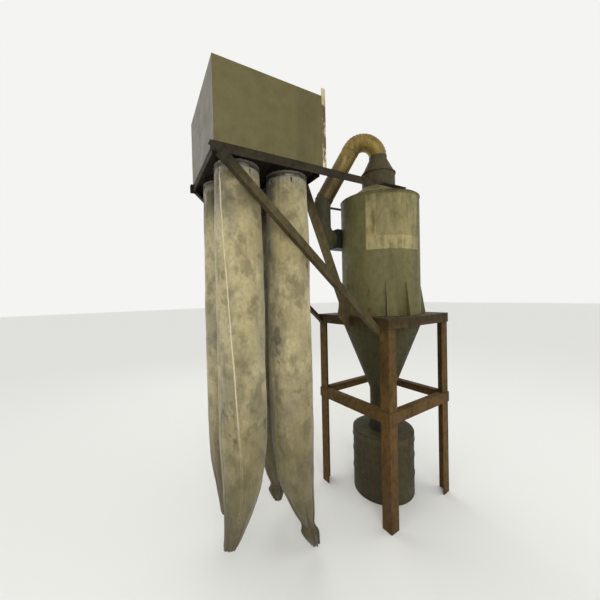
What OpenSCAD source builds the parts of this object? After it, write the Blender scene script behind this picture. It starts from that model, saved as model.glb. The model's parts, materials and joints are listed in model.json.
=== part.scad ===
// Cyclone separator with four after-filter bags, on an angle-iron stand.
// The origin is on the floor under the cyclone's axis. +X runs from the bags to the cyclone,
// +Y runs to the rear and +Z is up. All sizes are in millimetres.

/* [Stand] */
// Outer side of the square stand
stand_side = 710; // [680:5:820]
// Height of the top ring's upper face
ring_top = 1395; // [1300:5:1500]
// Width of each leg angle's flanges
leg_w = 75; // [50:5:90]
// Thickness of the leg, ring and rail angles
leg_t = 6; // [4:1:8]
// Depth of the top ring's upright flange
ring_drop = 65; // [40:5:90]
// Height of the lower rails' upper face
rail_top = 787; // [700:1:850]
// Depth of the lower rails' upright flange
rail_drop = 75; // [50:5:90]
// Width of the lower rails' flat flange
rail_flange = 50; // [30:5:60]
// Thickness of the deck plate
deck_t = 5; // [3:1:10]

/* [Cyclone body] */
// Outer diameter of the barrel
barrel_d = 600; // [540:5:620]
// Height of the barrel above the deck
barrel_h = 885; // [700:5:1000]
// Length of the barrel below the deck
barrel_hang = 70; // [60:5:100]
// Wall of the barrel, cone and roof
barrel_wall = 3; // [2:0.5:5]
// Width of the bolted flange between barrel and cone
flange_w = 18; // [12:1:24]
// Thickness of each bolted flange
flange_t = 6; // [4:1:8]
// Rise of the conical roof
roof_rise = 100; // [60:5:140]
// Width of the roof's flat lip
lip_w = 30; // [24:1:40]
// Height of the cone
cone_h = 530; // [400:5:600]
// Outer diameter of the spout under the cone
spout_d = 190; // [150:5:220]
// Length of the spout
spout_l = 230; // [180:5:260]
// Height of the tapered lugs that stand on the deck
lug_h = 235; // [100:5:300]
// Reach of each lug at its foot
lug_w = 42; // [20:1:44]
// Thickness of each lug
lug_t = 10; // [6:1:16]

/* [Outlet duct] */
// Outer diameter of the outlet collar on the roof
collar_d = 256; // [200:2:300]
// Height of the outlet collar
collar_h = 112; // [60:2:160]
// Height of the tapered hood on the collar
hood_h = 145; // [100:5:200]
// Outer diameter of the round duct
duct_d = 130; // [100:2:150]
// Wall of the collar, the hood and the duct
duct_wall = 2; // [1:0.5:3]
// Centreline radius of the top bend
bend_r = 115; // [90:5:160]
// Turn of the top bend in degrees
bend_turn = 150; // [120:5:165]
// Number of whole gores in the top bend
bend_gores = 6; // [4:1:12]
// Centreline radius of the two lower bends
low_bend_r = 100; // [80:5:130]
// Distance along X from the cyclone's axis to the upright duct
duct_out = 390; // [370:5:450]

/* [Inlet] */
// Height of the inlet's centre above the floor
inlet_z = 2005; // [1800:5:2040]
// Height of the inlet box
inlet_h = 150; // [140:5:180]
// Wall of the inlet box
inlet_wall = 3; // [2:0.5:5]
// Width of the round flange on the inlet box
inlet_flange = 10; // [6:1:16]

/* [Dust drum] */
// Outer diameter of the drum
drum_d = 470; // [400:5:500]
// Height of the drum without its lid
drum_h = 480; // [400:5:500]
// Wall of the drum
drum_wall = 2; // [1:0.5:4]
// Rise of the lid above the drum's rim
lid_t = 4; // [3:1:8]
// Depth of the lid's skirt
lid_skirt = 65; // [30:5:90]
// Length of the spout that the sleeve covers
sleeve_over = 64; // [30:2:100]

/* [Bag unit] */
// Turn of the bag unit about the cyclone's axis in degrees
unit_turn = -5; // [-8:1:0]
// Distance from the cyclone's axis to the plenum
plenum_out = 745; // [700:5:800]
// Length of the plenum
plenum_l = 615; // [600:5:640]
// Width of the plenum
plenum_w = 620; // [615:5:660]
// Height of the plenum
plenum_h = 405; // [300:5:500]
// Thickness of the plenum's panels
panel_t = 2; // [1:0.5:3]
// Thickness of the tube sheet under the plenum
sheet_t = 3; // [2:0.5:5]
// Flange width of the arms and the cross members
arm_w = 40; // [30:1:40]
// Thickness of the arms, braces and cross members
arm_t = 5; // [4:1:6]
// Length of the arms past the plenum's free end
arm_over = 18; // [0:1:40]
// Flange width of the two long braces
brace_w = 42; // [30:2:50]
// Width of the middle strut's broad flange
strut_w = 75; // [50:5:90]
// Reach of the knee plate under the middle strut
knee_w = 105; // [70:5:120]
// Height of the knee plate above the stand's ring
knee_h = 150; // [100:5:180]
// Height of the strip above the plenum
strip_up = 47; // [0:1:80]
// Width of the strip
strip_w = 25; // [15:1:30]
// Thickness of the strip
strip_t = 4; // [2:0.5:6]

/* [Filter bags] */
// Distance between the bags' centres
bag_pitch = 300; // [285:5:310]
// Outer diameter of the bag collars
tube_d = 230; // [210:2:236]
// Wall of the bag collars
tube_wall = 2; // [1:0.5:3]
// Length of the bag collars below the plenum
tube_drop = 110; // [90:5:150]
// Outer diameter of the bags below their bands
bag_d = 252; // [230:2:260]
// Wall of the bags
bag_wall = 2.5; // [2:0.5:4]
// Distance from the plenum to the bags' top edge
bag_top_gap = 36; // [20:2:50]
// Height of the bag bands
band_h = 18; // [12:1:25]
// Thickness of the bag bands
band_t = 2; // [1:0.5:3]
// Sideways drift of the front left bag's tail along X and Y
drift_front_left = [-62, 34]; // [-120:1:120]
// Sideways drift of the front right bag's tail along X and Y
drift_front_right = [78, -50]; // [-120:1:120]
// Sideways drift of the rear left bag's tail along X and Y
drift_rear_left = [-20, 24]; // [-120:1:120]
// Sideways drift of the rear right bag's tail along X and Y
drift_rear_right = [30, 12]; // [-120:1:120]
// Height of the lowest point of the front left bag
tail_front_left = 170; // [40:10:400]
// Height of the lowest point of the front right bag
tail_front_right = 50; // [40:10:400]
// Height of the lowest point of the rear left bag
tail_rear_left = 150; // [40:10:400]
// Height of the lowest point of the rear right bag
tail_rear_right = 110; // [40:10:400]

/* [Hidden] */
$fn = 96;

// Running clearance round pieces that slide over each other
slip = 0.3;
// Clearance between bars and plates that are fitted past each other
fit_gap = 1;
// Clearance of the deck's hole round the barrel
hole_gap = 1.5;
// How far a cutting shape runs past the faces that it cuts
past = 1;
// Far more than any piece, for cutting planes
far = 4000;

// Stand: half its side, the legs' outer face and the inner edge of the ring's flat flange
half = stand_side / 2;
leg_out = half - leg_t;
ring_gap = 5;
ring_flange = half - barrel_d / 2 - ring_gap;
deck_top = ring_top + deck_t;

// Cyclone body, from the spout's foot up to the hood
barrel_r = barrel_d / 2;
barrel_bottom = deck_top - barrel_hang;
barrel_top = deck_top + barrel_h;
lip_top = barrel_top + barrel_wall;
lip_r = barrel_r + 4;
cone_top = barrel_bottom;
cone_bottom = cone_top - cone_h;
spout_r = spout_d / 2;
spout_bottom = cone_bottom - spout_l;
collar_r = collar_d / 2;
roof_top = lip_top + roof_rise;
// Width of the roof's flat seat outside and inside the collar's face
seat_out = 6;
seat_in = 8;
hood_base = roof_top + collar_h;
bend_base = hood_base + hood_h;

// Drum and sleeve: the lid's upper face and the sleeve's upper end
lid_top = drum_h + lid_t;
sleeve_top = spout_bottom + sleeve_over;
sleeve_wall = 5;

// Route of the round duct: its plan direction, its lean from upright, the ends of its bends and
// the straight runs between them
duct_r = duct_d / 2;
duct_y = barrel_r - duct_r;
duct_plan = atan2(duct_y, -duct_out);
duct_reach = norm([duct_out, duct_y]);
lean = 180 - bend_turn;
bend_end = [bend_r * (1 - cos(bend_turn)), bend_r * sin(bend_turn)];
ease_end = low_bend_r * (1 - cos(lean));
ease_gores = 2;
elbow_gores = 4;
slope_l = (duct_reach - bend_end[0] - ease_end) / sin(lean);
slope_base = bend_base + bend_end[1] - slope_l * cos(lean);
upright_top = slope_base - low_bend_r * sin(lean);
upright_bottom = inlet_z + low_bend_r;
plate_x = -duct_out + low_bend_r;
// Distance from the cyclone's axis at which the inlet box has run out along the barrel's wall
inlet_stop = 60;
// Sides of the round duct's bends
duct_sides = 32;

// Bag unit, in the frame that is turned about the cyclone's axis
arm_top = lip_top + arm_t;
plenum_base = arm_top;
plenum_top_z = plenum_base + plenum_h;
plenum_x = -plenum_out - plenum_l;
plenum_mid = -plenum_out - plenum_l / 2;
arm_face = plenum_w / 2 + 2;
arm_end = plenum_x - arm_over;
// Distance from the cyclone's axis to the arms' tips on the roof's lip
arm_tip = 48;
// Distance from the barrel to the start of the arms' slanting cut, and the cut's length
cope_out = 80;
cope_l = 130;
// Distance from the plenum's free end to the long braces' heads
brace_in = 30;
// Distance from the stand's left face to the long braces' feet
foot_in = 10;
tube_r = tube_d / 2;
bag_sides = 24;
bag_top = plenum_base - bag_top_gap;
bag_neck_r = (tube_r + slip) / cos(180 / bag_sides) + bag_wall;
// Distance from the bags' top edge down to their bands
band_down = 12;

paint = "#5a5c3c";
rust = "#6b4a2e";

// Puts its children into the turned frame of the bag unit.
module in_bag_unit() {
    rotate([0, 0, unit_turn]) children();
}

// An L-shaped bar along +X: its outer corner edge lies on the X axis, one flange runs along +Y
// and the other down along -Z.
module angle_bar(length, flat_w, drop_w, t) {
    rotate([90, 0, 90])
        linear_extrude(height = length)
            polygon([[0, 0], [flat_w, 0], [flat_w, -t], [t, -t], [t, -drop_w], [0, -drop_w]]);
}

// A leg of equal angle with its outer corner at the stand's corner.
module leg(sx, sy) {
    color(rust)
        mirror([sx > 0 ? 1 : 0, 0, 0])
            mirror([0, sy > 0 ? 1 : 0, 0])
                translate([-leg_out, -leg_out, 0])
                    linear_extrude(height = ring_top - leg_t)
                        polygon([[0, 0], [leg_w, 0], [leg_w, leg_t],
                                 [leg_t, leg_t], [leg_t, leg_w], [0, leg_w]]);
}

// A front or rear bar of the top ring, whole from corner to corner.
module ring_long(sy) {
    color(rust)
        mirror([0, sy > 0 ? 1 : 0, 0])
            translate([-half, -half, ring_top])
                angle_bar(stand_side, ring_flange, ring_drop, leg_t);
}

// A side bar of the top ring: its flat flange ends at the long bars' flat flanges.
module ring_short(sx) {
    color(rust)
        mirror([sx > 0 ? 1 : 0, 0, 0]) {
            translate([-half, -leg_out, ring_top - ring_drop])
                cube([leg_t, 2 * leg_out, ring_drop - leg_t]);
            translate([-half, -half + ring_flange, ring_top - leg_t])
                cube([ring_flange, stand_side - 2 * ring_flange, leg_t]);
        }
}

// A lower rail, its flat flange cut back between the legs.
module rail(full) {
    run = full ? stand_side : 2 * leg_out;
    inner = 2 * (leg_out - leg_w - fit_gap);
    color(rust) {
        translate([-run / 2, -half, rail_top - rail_drop])
            cube([run, leg_t, rail_drop]);
        translate([-inner / 2, -half, rail_top - leg_t])
            cube([inner, rail_flange, leg_t]);
    }
}

module rail_front() {
    rail(true);
}

module rail_rear() {
    mirror([0, 1, 0]) rail(true);
}

module rail_left() {
    rotate([0, 0, -90]) rail(false);
}

module rail_right() {
    rotate([0, 0, 90]) rail(false);
}

// Square plate that closes the ring, with the hole that the barrel hangs through.
module deck_plate() {
    color(paint)
        difference() {
            translate([-half, -half, ring_top])
                cube([stand_side, stand_side, deck_t]);
            translate([0, 0, ring_top - past])
                cylinder(r = barrel_r + hole_gap, h = deck_t + 2 * past);
        }
}

// Barrel shell with a bolting flange at its foot and the inlet's window.
module barrel() {
    color(paint)
        difference() {
            rotate_extrude()
                polygon([
                    [barrel_r - barrel_wall, barrel_bottom], [barrel_r + flange_w, barrel_bottom],
                    [barrel_r + flange_w, barrel_bottom + flange_t],
                    [barrel_r, barrel_bottom + flange_t], [barrel_r, barrel_top],
                    [barrel_r - barrel_wall, barrel_top]
                ]);
            inlet_passage();
        }
}

// Tapered lugs, in pairs on each side, that stand on the deck and hold the barrel.
module barrel_lugs() {
    foot_h = 14;
    tip_w = 7;
    color(paint)
        for (quarter = [0:3], place = [-132, -104])
            rotate([0, 0, place + 90 * quarter])
                rotate([90, 0, 0])
                    translate([0, 0, -lug_t / 2])
                        linear_extrude(height = lug_t)
                            polygon([
                                [barrel_r + slip, deck_top], [barrel_r + lug_w, deck_top],
                                [barrel_r + lug_w, deck_top + foot_h],
                                [barrel_r + tip_w, deck_top + lug_h],
                                [barrel_r + slip, deck_top + lug_h]
                            ]);
}

// Conical roof with a flat lip on the barrel's rim and a flat seat for the outlet collar.
module roof() {
    fold = 2;
    inner = barrel_r - lip_w;
    color(paint)
        rotate_extrude()
            polygon([
                [inner, barrel_top], [lip_r, barrel_top], [lip_r, lip_top],
                [inner + fold, lip_top],
                [collar_r + seat_out, roof_top], [collar_r - seat_in, roof_top],
                [collar_r - seat_in, roof_top - barrel_wall],
                [collar_r + fold, roof_top - barrel_wall]
            ]);
}

// Cone and its spout, with the flange that bolts to the barrel.
module cone() {
    color(paint)
        rotate_extrude()
            polygon([
                [barrel_r - barrel_wall, cone_top], [barrel_r + flange_w, cone_top],
                [barrel_r + flange_w, cone_top - flange_t], [barrel_r, cone_top - flange_t],
                [spout_r, cone_bottom], [spout_r, spout_bottom],
                [spout_r - barrel_wall, spout_bottom], [spout_r - barrel_wall, cone_bottom],
                [barrel_r - barrel_wall, cone_top - flange_t]
            ]);
}

// Sleeve round the spout, flanged on the drum's lid.
module dust_sleeve() {
    inner = spout_r + slip;
    outer = inner + sleeve_wall;
    foot_w = 13;
    foot_t = 4;
    color("#3b3c34")
        rotate_extrude()
            polygon([
                [inner, lid_top], [outer + foot_w, lid_top], [outer + foot_w, lid_top + foot_t],
                [outer, lid_top + foot_t], [outer, sleeve_top], [inner, sleeve_top]
            ]);
}

// Open drum with a flat base, a rolled rim and two rolled hoops.
module drum() {
    r = drum_d / 2;
    hoop_levels = [0.33, 0.63];
    hoop_rise = 4;
    hoop = [[0, -10], [hoop_rise, -4], [hoop_rise, 4], [0, 10]];
    base_t = drum_wall + 1;
    color("#4c4e40")
        rotate_extrude()
            polygon(concat(
                [[0, 0], [r, 0]],
                [for (level = hoop_levels, p = hoop) [r + p[0], drum_h * level + p[1]]],
                [[r, drum_h], [r - drum_wall, drum_h], [r - drum_wall, base_t], [0, base_t]]
            ));
}

// Lid with a skirt over the drum's rim and a hole for the spout.
module drum_lid() {
    inner = drum_d / 2 + slip;
    outer = inner + drum_wall;
    hole = spout_r + slip;
    foot = lid_top - lid_skirt;
    bead = 3;
    shoulder = 8;
    color("#55574a")
        rotate_extrude()
            polygon([
                [hole, drum_h], [inner, drum_h], [inner, foot],
                [outer + bead, foot], [outer + bead, foot + 2 * bead],
                [outer, foot + 2 * bead + drum_wall], [outer, lid_top - shoulder],
                [outer - shoulder, lid_top], [hole, lid_top]
            ]);
}

// Short tube on the roof.
module outlet_collar() {
    color("#33361f")
        translate([0, 0, roof_top])
            difference() {
                cylinder(r = collar_r, h = collar_h);
                translate([0, 0, -past])
                    cylinder(r = collar_r - duct_wall, h = collar_h + 2 * past);
            }
}

// Tapered hood with a beaded foot, from the collar up to the round duct.
module outlet_hood() {
    bead_h = 8;
    bead_w = 6;
    skirt_h = 12;
    skirt_in = 4;
    neck_h = 22;
    neck_w = 4;
    inner = duct_r - duct_wall;
    color("#2e311c")
        rotate_extrude()
            polygon([
                [collar_r - duct_wall, hood_base], [collar_r + bead_w - 1, hood_base],
                [collar_r + bead_w, hood_base + bead_h / 2],
                [collar_r + bead_w - 1, hood_base + bead_h],
                [collar_r - skirt_in, hood_base + skirt_h],
                [duct_r + neck_w, bend_base - neck_h], [duct_r + neck_w, bend_base],
                [inner, bend_base], [inner, bend_base - neck_h],
                [collar_r - skirt_in - 2 * duct_wall, hood_base + skirt_h]
            ]);
}

// Centreline of a gored bend, as [forward, up]: it starts at the origin going up, has a corner
// where two gores meet and ends after the turn.
function bend_line(radius, turn, gores) =
    let (step = turn / gores, out = radius / cos(step / 2))
    concat([[0, 0]],
           [for (j = [0.5:gores - 0.5]) [radius - out * cos(j * step), out * sin(j * step)]],
           [[radius * (1 - cos(turn)), radius * sin(turn)]]);

function unit(v) = v / norm(v);

// Direction of a path's piece after point i.
function heading(path, i) = unit(path[i + 1] - path[i]);

// Rings of a tube along a path: each ring lies in the plane that mitres its corner.
function mitred(path, ring, i = 0) =
    i == len(path) - 1 ? [ring] :
    let (
        dir = heading(path, i),
        face = i < len(path) - 2 ? dir + heading(path, i + 1) : dir,
        next = [for (p = ring) p + dir * (((path[i + 1] - p) * face) / (dir * face))]
    )
    concat([ring], mitred(path, next, i + 1));

// First ring of a tube: a circle across the path's first piece, with one diameter along side.
function first_ring(path, side, r) =
    let (up = cross(heading(path, 0), side))
    [for (k = [0:duct_sides - 1])
        path[0] + r * (cos(360 * k / duct_sides) * side + sin(360 * k / duct_sides) * up)];

// A ring drawn out from its centre by a width.
function widened(ring, centre, width) = [for (p = ring) p + unit(p - centre) * width];

// Closed skin over rings that follow each other round the tube's wall and back to the first.
module ring_skin(rings) {
    n = len(rings);
    m = duct_sides;
    polyhedron(
        points = [for (ring = rings) each ring],
        faces = [for (i = [0:n - 1], k = [0:m - 1])
            let (j = (i + 1) % n, l = (k + 1) % m)
            each [[i * m + k, j * m + k, j * m + l], [i * m + k, j * m + l, i * m + l]]],
        convexity = 8
    );
}

function reversed(list) = [for (i = [len(list) - 1:-1:0]) list[i]];

// Turns its children so that +X points along the duct's run in plan.
module along_duct() {
    rotate([0, 0, duct_plan]) children();
}

// Gored bend on top of the hood.
module top_bend() {
    path = [for (p = bend_line(bend_r, bend_turn, bend_gores)) [p[0], 0, bend_base + p[1]]];
    outer = mitred(path, first_ring(path, [0, 1, 0], duct_r));
    inner = mitred(path, first_ring(path, [0, 1, 0], duct_r - duct_wall));
    color("#7a5a2a")
        along_duct()
            ring_skin(concat(outer, reversed(inner)));
}

// Straight duct that slopes down from the top bend.
module sloping_duct() {
    color("#6a4c28")
        along_duct()
            translate([bend_end[0], 0, bend_base + bend_end[1]])
                rotate([0, bend_turn, 0])
                    difference() {
                        cylinder(r = duct_r, h = slope_l);
                        translate([0, 0, -past])
                            cylinder(r = duct_r - duct_wall, h = slope_l + 2 * past);
                    }
}

// Easing bend, upright duct and the gored elbow that ends in a flange on the inlet box.
module lower_duct() {
    run = [cos(duct_plan), sin(duct_plan), 0];
    side = [-run[1], run[0], 0];
    path = concat(
        [for (p = reversed(bend_line(low_bend_r, lean, ease_gores)))
            (duct_reach - p[0]) * run + [0, 0, upright_top + p[1]]],
        [for (p = bend_line(low_bend_r, 90, elbow_gores)) [p[0] - duct_out, duct_y, upright_bottom - p[1]]]
    );
    last = len(path) - 1;
    flange_back = path[last] - [flange_t, 0, 0];
    route = concat([for (i = [0:last - 1]) path[i]], [flange_back, path[last]]);
    outer = mitred(route, first_ring(route, side, duct_r));
    inner = mitred(route, first_ring(route, side, duct_r - duct_wall));
    rim = [for (i = [last, last + 1]) widened(outer[i], route[i], inlet_flange)];
    color("#4e5340")
        ring_skin(concat([for (i = [0:last]) outer[i]], rim, reversed(inner)));
}

// Space inside the inlet, from its end plate into the barrel.
module inlet_passage() {
    translate([plate_x + inlet_wall, duct_y - duct_r + inlet_wall, inlet_z - inlet_h / 2 + inlet_wall])
        cube([-plate_x - 2 * inlet_wall - inlet_stop, duct_d - 2 * inlet_wall, inlet_h - 2 * inlet_wall]);
}

// Tangential inlet box between the lower duct and the barrel's rear left side.
module inlet_box() {
    color("#26402f")
        difference() {
            translate([plate_x, duct_y - duct_r, inlet_z - inlet_h / 2])
                cube([-plate_x - inlet_stop, duct_d, inlet_h]);
            inlet_passage();
            translate([plate_x - past, duct_y, inlet_z])
                rotate([0, 90, 0])
                    cylinder(r = duct_r - duct_wall, h = inlet_wall + 2 * past);
            translate([0, 0, inlet_z - inlet_h])
                cylinder(r = barrel_r + slip / 2, h = 2 * inlet_h);
        }
}

// Slip-joint bands round the duct's two sloping joints.
module duct_bands() {
    band = 24;
    thick = 3;
    inset = 6;
    color("#5c4526")
        along_duct()
            translate([bend_end[0], 0, bend_base + bend_end[1]])
                rotate([0, bend_turn, 0])
                    for (at = [inset, slope_l - band - inset])
                        translate([0, 0, at])
                            difference() {
                                cylinder(r = duct_r + thick, h = band);
                                translate([0, 0, -past])
                                    cylinder(r = duct_r + slip / 2, h = band + 2 * past);
                            }
}

// Arm of angle iron under the plenum's edge: its tip lies on the roof's lip, with the upright
// flange cut away on the slant before the barrel.
module arm() {
    cope = -barrel_r - cope_out;
    below = arm_top - arm_w - 2 * arm_t;
    color(rust)
        difference() {
            translate([arm_end, -arm_face, arm_top])
                angle_bar(-arm_tip - arm_end, arm_w, arm_w + arm_t, arm_t);
            translate([0, -arm_face - past, 0])
                rotate([90, 0, 0])
                    mirror([0, 0, 1])
                        linear_extrude(height = arm_t + 2 * past)
                            polygon([
                                [cope, below], [cope, arm_top - arm_w],
                                [cope + cope_l, arm_top - arm_t], [0, arm_top - arm_t], [0, below]
                            ]);
        }
}

module arm_front() {
    in_bag_unit() arm();
}

module arm_rear() {
    in_bag_unit() mirror([0, 1, 0]) arm();
}

// Angle irons across the arms, under the plenum's two ends.
module cross_members() {
    span = 2 * (arm_face - arm_w);
    color(rust)
        in_bag_unit() {
            translate([plenum_x, span / 2, arm_top])
                rotate([0, 0, -90])
                    angle_bar(span, arm_w, arm_w, arm_t);
            translate([-plenum_out, -span / 2, arm_top])
                rotate([0, 0, 90])
                    angle_bar(span, arm_w, arm_w, arm_t);
        }
}

// Long brace from the arm's free end down to the stand's left bar. Its upright flange lies on
// the arm's outer face; its lower flange turns in and starts where it clears the arm.
module brace() {
    head = [plenum_x + brace_in, arm_top - arm_t];
    foot = [-half + foot_in, ring_top - 0.6 * ring_drop];
    run = foot - head;
    fall = atan2(-run[1], run[0]);
    length = norm(run) + 2 * brace_w;
    start = (arm_w + fit_gap - (brace_w - arm_t) * cos(fall)) / sin(fall);
    translate([head[0], -arm_face - arm_t, head[1]])
        rotate([0, fall, 0])
            translate([0, 0, -brace_w]) {
                cube([length, arm_t, brace_w]);
                translate([start, 0, 0])
                    cube([length - start, brace_w, arm_t]);
            }
}

// The brace of one side, cut off at the stand's bar.
module fit_brace(side) {
    color(rust)
        difference() {
            in_bag_unit()
                mirror([0, side > 0 ? 1 : 0, 0]) brace();
            translate([-half, -far / 2, 0])
                cube([far, far, far]);
        }
}

// Steep strut from the cross member at the plenum's near end to the middle of the left bar,
// with a knee plate in the corner under it.
module middle_strut() {
    low = 22;
    foot = [-half, ring_top - low];
    head = [-plenum_out + arm_t - 1, arm_top - arm_t];
    run = head - foot;
    rise = atan2(run[1], -run[0]);
    length = norm(run) + strut_w;
    outer = -half - knee_w;
    knee = [[outer, deck_top], [outer + 13, ring_top + 0.8 * knee_h], [outer + 45, ring_top + knee_h],
            [-half, ring_top - low + 2], [-half, ring_top - ring_drop],
            [outer + 75, ring_top - ring_drop]];
    color(rust)
        difference() {
            union() {
                translate([foot[0], -arm_t, foot[1]])
                    rotate([0, rise, 0])
                        mirror([1, 0, 0]) {
                            translate([-strut_w, 0, -strut_w / 2])
                                cube([length, arm_t, strut_w]);
                            translate([-strut_w, 0, strut_w / 2 - arm_t])
                                cube([length, strut_w / 2, arm_t]);
                        }
                rotate([90, 0, 0])
                    linear_extrude(height = arm_t)
                        polygon(knee);
            }
            translate([-half, -far / 2, 0])
                cube([far, far, far]);
            in_bag_unit() {
                translate([-plenum_out - far, -far / 2, arm_top - arm_w - slip])
                    cube([far, far, far]);
                translate([-far, -far / 2, arm_top - arm_t])
                    cube([far, far, far]);
            }
        }
}

// Side panel of the plenum, whole from end to end.
module plenum_side(sy) {
    color("#55553f")
        in_bag_unit()
            mirror([0, sy > 0 ? 1 : 0, 0])
                translate([plenum_x, -plenum_w / 2, plenum_base + sheet_t])
                    cube([plenum_l, panel_t, plenum_h - sheet_t - panel_t]);
}

// End panel of the plenum, between the side panels.
module plenum_end(x) {
    color("#77776a")
        in_bag_unit()
            translate([x, -plenum_w / 2 + panel_t, plenum_base + sheet_t])
                cube([panel_t, plenum_w - 2 * panel_t, plenum_h - sheet_t - panel_t]);
}

module plenum_top() {
    color("#55553f")
        in_bag_unit()
            translate([plenum_x, -plenum_w / 2, plenum_top_z - panel_t])
                cube([plenum_l, plenum_w, panel_t]);
}

// Puts its children at the centre of each bag.
module at_bags() {
    in_bag_unit()
        for (sx = [-1, 1], sy = [-1, 1])
            translate([plenum_mid + sx * bag_pitch / 2, sy * bag_pitch / 2, 0])
                children();
}

// Plate under the plenum with a hole for each bag collar.
module tube_sheet() {
    color("#3a3a30")
        difference() {
            in_bag_unit()
                translate([plenum_x, -plenum_w / 2, plenum_base])
                    cube([plenum_l, plenum_w, sheet_t]);
            at_bags()
                translate([0, 0, plenum_base - past])
                    cylinder(r = tube_r + slip, h = sheet_t + 2 * past);
        }
}

// Flat strip that stands on the arm against the plenum's near end.
module end_strip() {
    color("#c9c2ac")
        in_bag_unit()
            translate([-plenum_out, -plenum_w / 2 + fit_gap, arm_top])
                cube([strip_w, strip_t, plenum_h + strip_up]);
}

// Collars that hang in the tube sheet by their top flanges.
module bag_collars() {
    base = plenum_base + sheet_t;
    foot = plenum_base - tube_drop;
    rim_w = 12;
    rim_t = 3;
    color("#2f2f2a")
        at_bags()
            rotate_extrude()
                polygon([
                    [tube_r - tube_wall, foot], [tube_r, foot], [tube_r, base],
                    [tube_r + rim_w, base], [tube_r + rim_w, base + rim_t],
                    [tube_r - tube_wall, base + rim_t]
                ]);
}

// Clamp bands round the bags' necks.
module bag_bands() {
    color("#8d8a80")
        at_bags()
            translate([0, 0, bag_top - band_h - band_down])
                difference() {
                    cylinder(r = bag_neck_r + slip + band_t, h = band_h);
                    translate([0, 0, -past])
                        cylinder(r = bag_neck_r + slip, h = band_h + 2 * past);
                }
}

// How far down each ring of a bag lies, its width and its share of the tail's sideways drift.
bag_form = [
    [0.13, 1.00, 0], [0.40, 1.04, 0], [0.70, 1.02, 0.02], [0.78, 0.98, 0.08], [0.84, 0.86, 0.24],
    [0.89, 0.67, 0.48], [0.94, 0.47, 0.74], [1, 0.30, 1]
];

// One bag: a closed tube that narrows to a tail, drifting sideways by drift.
module bag(sx, sy, tail_z, drift) {
    tuck = 6;
    neck_z = plenum_base - tube_drop - tuck;
    drop = bag_top - tail_z;
    r = bag_d / 2;
    rings = concat(
        [[bag_top, bag_neck_r, 0], [neck_z, bag_neck_r, 0]],
        [for (f = bag_form) [bag_top - drop * f[0], r * f[1], f[2]]]
    );
    n = len(rings);
    m = bag_sides;
    function loop(ring, inset) = [
        for (k = [0:m - 1])
            [ring[2] * drift[0] + (ring[1] - inset) * cos(360 * k / m),
             ring[2] * drift[1] + (ring[1] - inset) * sin(360 * k / m),
             ring[0]]
    ];
    outer = [for (ring = rings) each loop(ring, 0)];
    inner = [for (i = [0:n - 1])
        let (lift = i == n - 1 ? 2 * bag_wall : 0)
        each [for (p = loop(rings[i], bag_wall)) p + [0, 0, lift]]];
    function quad(a, b, c, d) = [[a, b, c], [a, c, d]];
    skin = [for (i = [0:n - 2], k = [0:m - 1])
        each quad(i * m + k, i * m + (k + 1) % m, (i + 1) * m + (k + 1) % m, (i + 1) * m + k)];
    lining = [for (i = [0:n - 2], k = [0:m - 1])
        each quad(n * m + i * m + k, n * m + (i + 1) * m + k,
                  n * m + (i + 1) * m + (k + 1) % m, n * m + i * m + (k + 1) % m)];
    brim = [for (k = [0:m - 1])
        each quad(k, n * m + k, n * m + (k + 1) % m, (k + 1) % m)];
    foot = [[for (k = [0:m - 1]) (n - 1) * m + k]];
    floor_in = [[for (k = [m - 1:-1:0]) n * m + (n - 1) * m + k]];
    color("#9a937c")
        in_bag_unit()
            translate([plenum_mid + sx * bag_pitch / 2, sy * bag_pitch / 2, 0])
                polyhedron(points = concat(outer, inner),
                           faces = concat(skin, lining, brim, foot, floor_in), convexity = 6);
}

leg(-1, -1);  // leg_front_left
leg(1, -1);  // leg_front_right
leg(-1, 1);  // leg_rear_left
leg(1, 1);  // leg_rear_right
ring_long(-1);  // ring_front
ring_long(1);  // ring_rear
ring_short(-1);  // ring_left
ring_short(1);  // ring_right
deck_plate();
rail_front();
rail_rear();
rail_left();
rail_right();
barrel();
barrel_lugs();
roof();
cone();
dust_sleeve();
drum();
drum_lid();
outlet_collar();
outlet_hood();
top_bend();
sloping_duct();
lower_duct();
inlet_box();
duct_bands();
arm_front();
arm_rear();
cross_members();
fit_brace(-1);  // brace_front
fit_brace(1);  // brace_rear
middle_strut();
plenum_side(-1);  // plenum_front
plenum_side(1);  // plenum_rear
plenum_end(plenum_x);  // plenum_left_end
plenum_end(-plenum_out - panel_t);  // plenum_right_end
plenum_top();
tube_sheet();
end_strip();
bag_collars();
bag_bands();
bag(-1, -1, tail_front_left, drift_front_left);  // bag_front_left
bag(1, -1, tail_front_right, drift_front_right);  // bag_front_right
bag(-1, 1, tail_rear_left, drift_rear_left);  // bag_rear_left
bag(1, 1, tail_rear_right, drift_rear_right);  // bag_rear_right
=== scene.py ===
"""Looks of a cyclone separator with four after-filter bags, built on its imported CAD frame.

The frame has its origin on the floor under the cyclone's axis, +X from the bags to the
cyclone, +Y to the rear and +Z up. Sizes are in millimetres; mm() turns them into metres.
"""

from __future__ import annotations

import json
import logging
import math
from dataclasses import dataclass
from enum import Enum
from typing import Any, Iterable, Sequence

import bmesh
import bpy
from mathutils import Matrix, Vector, noise

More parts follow.
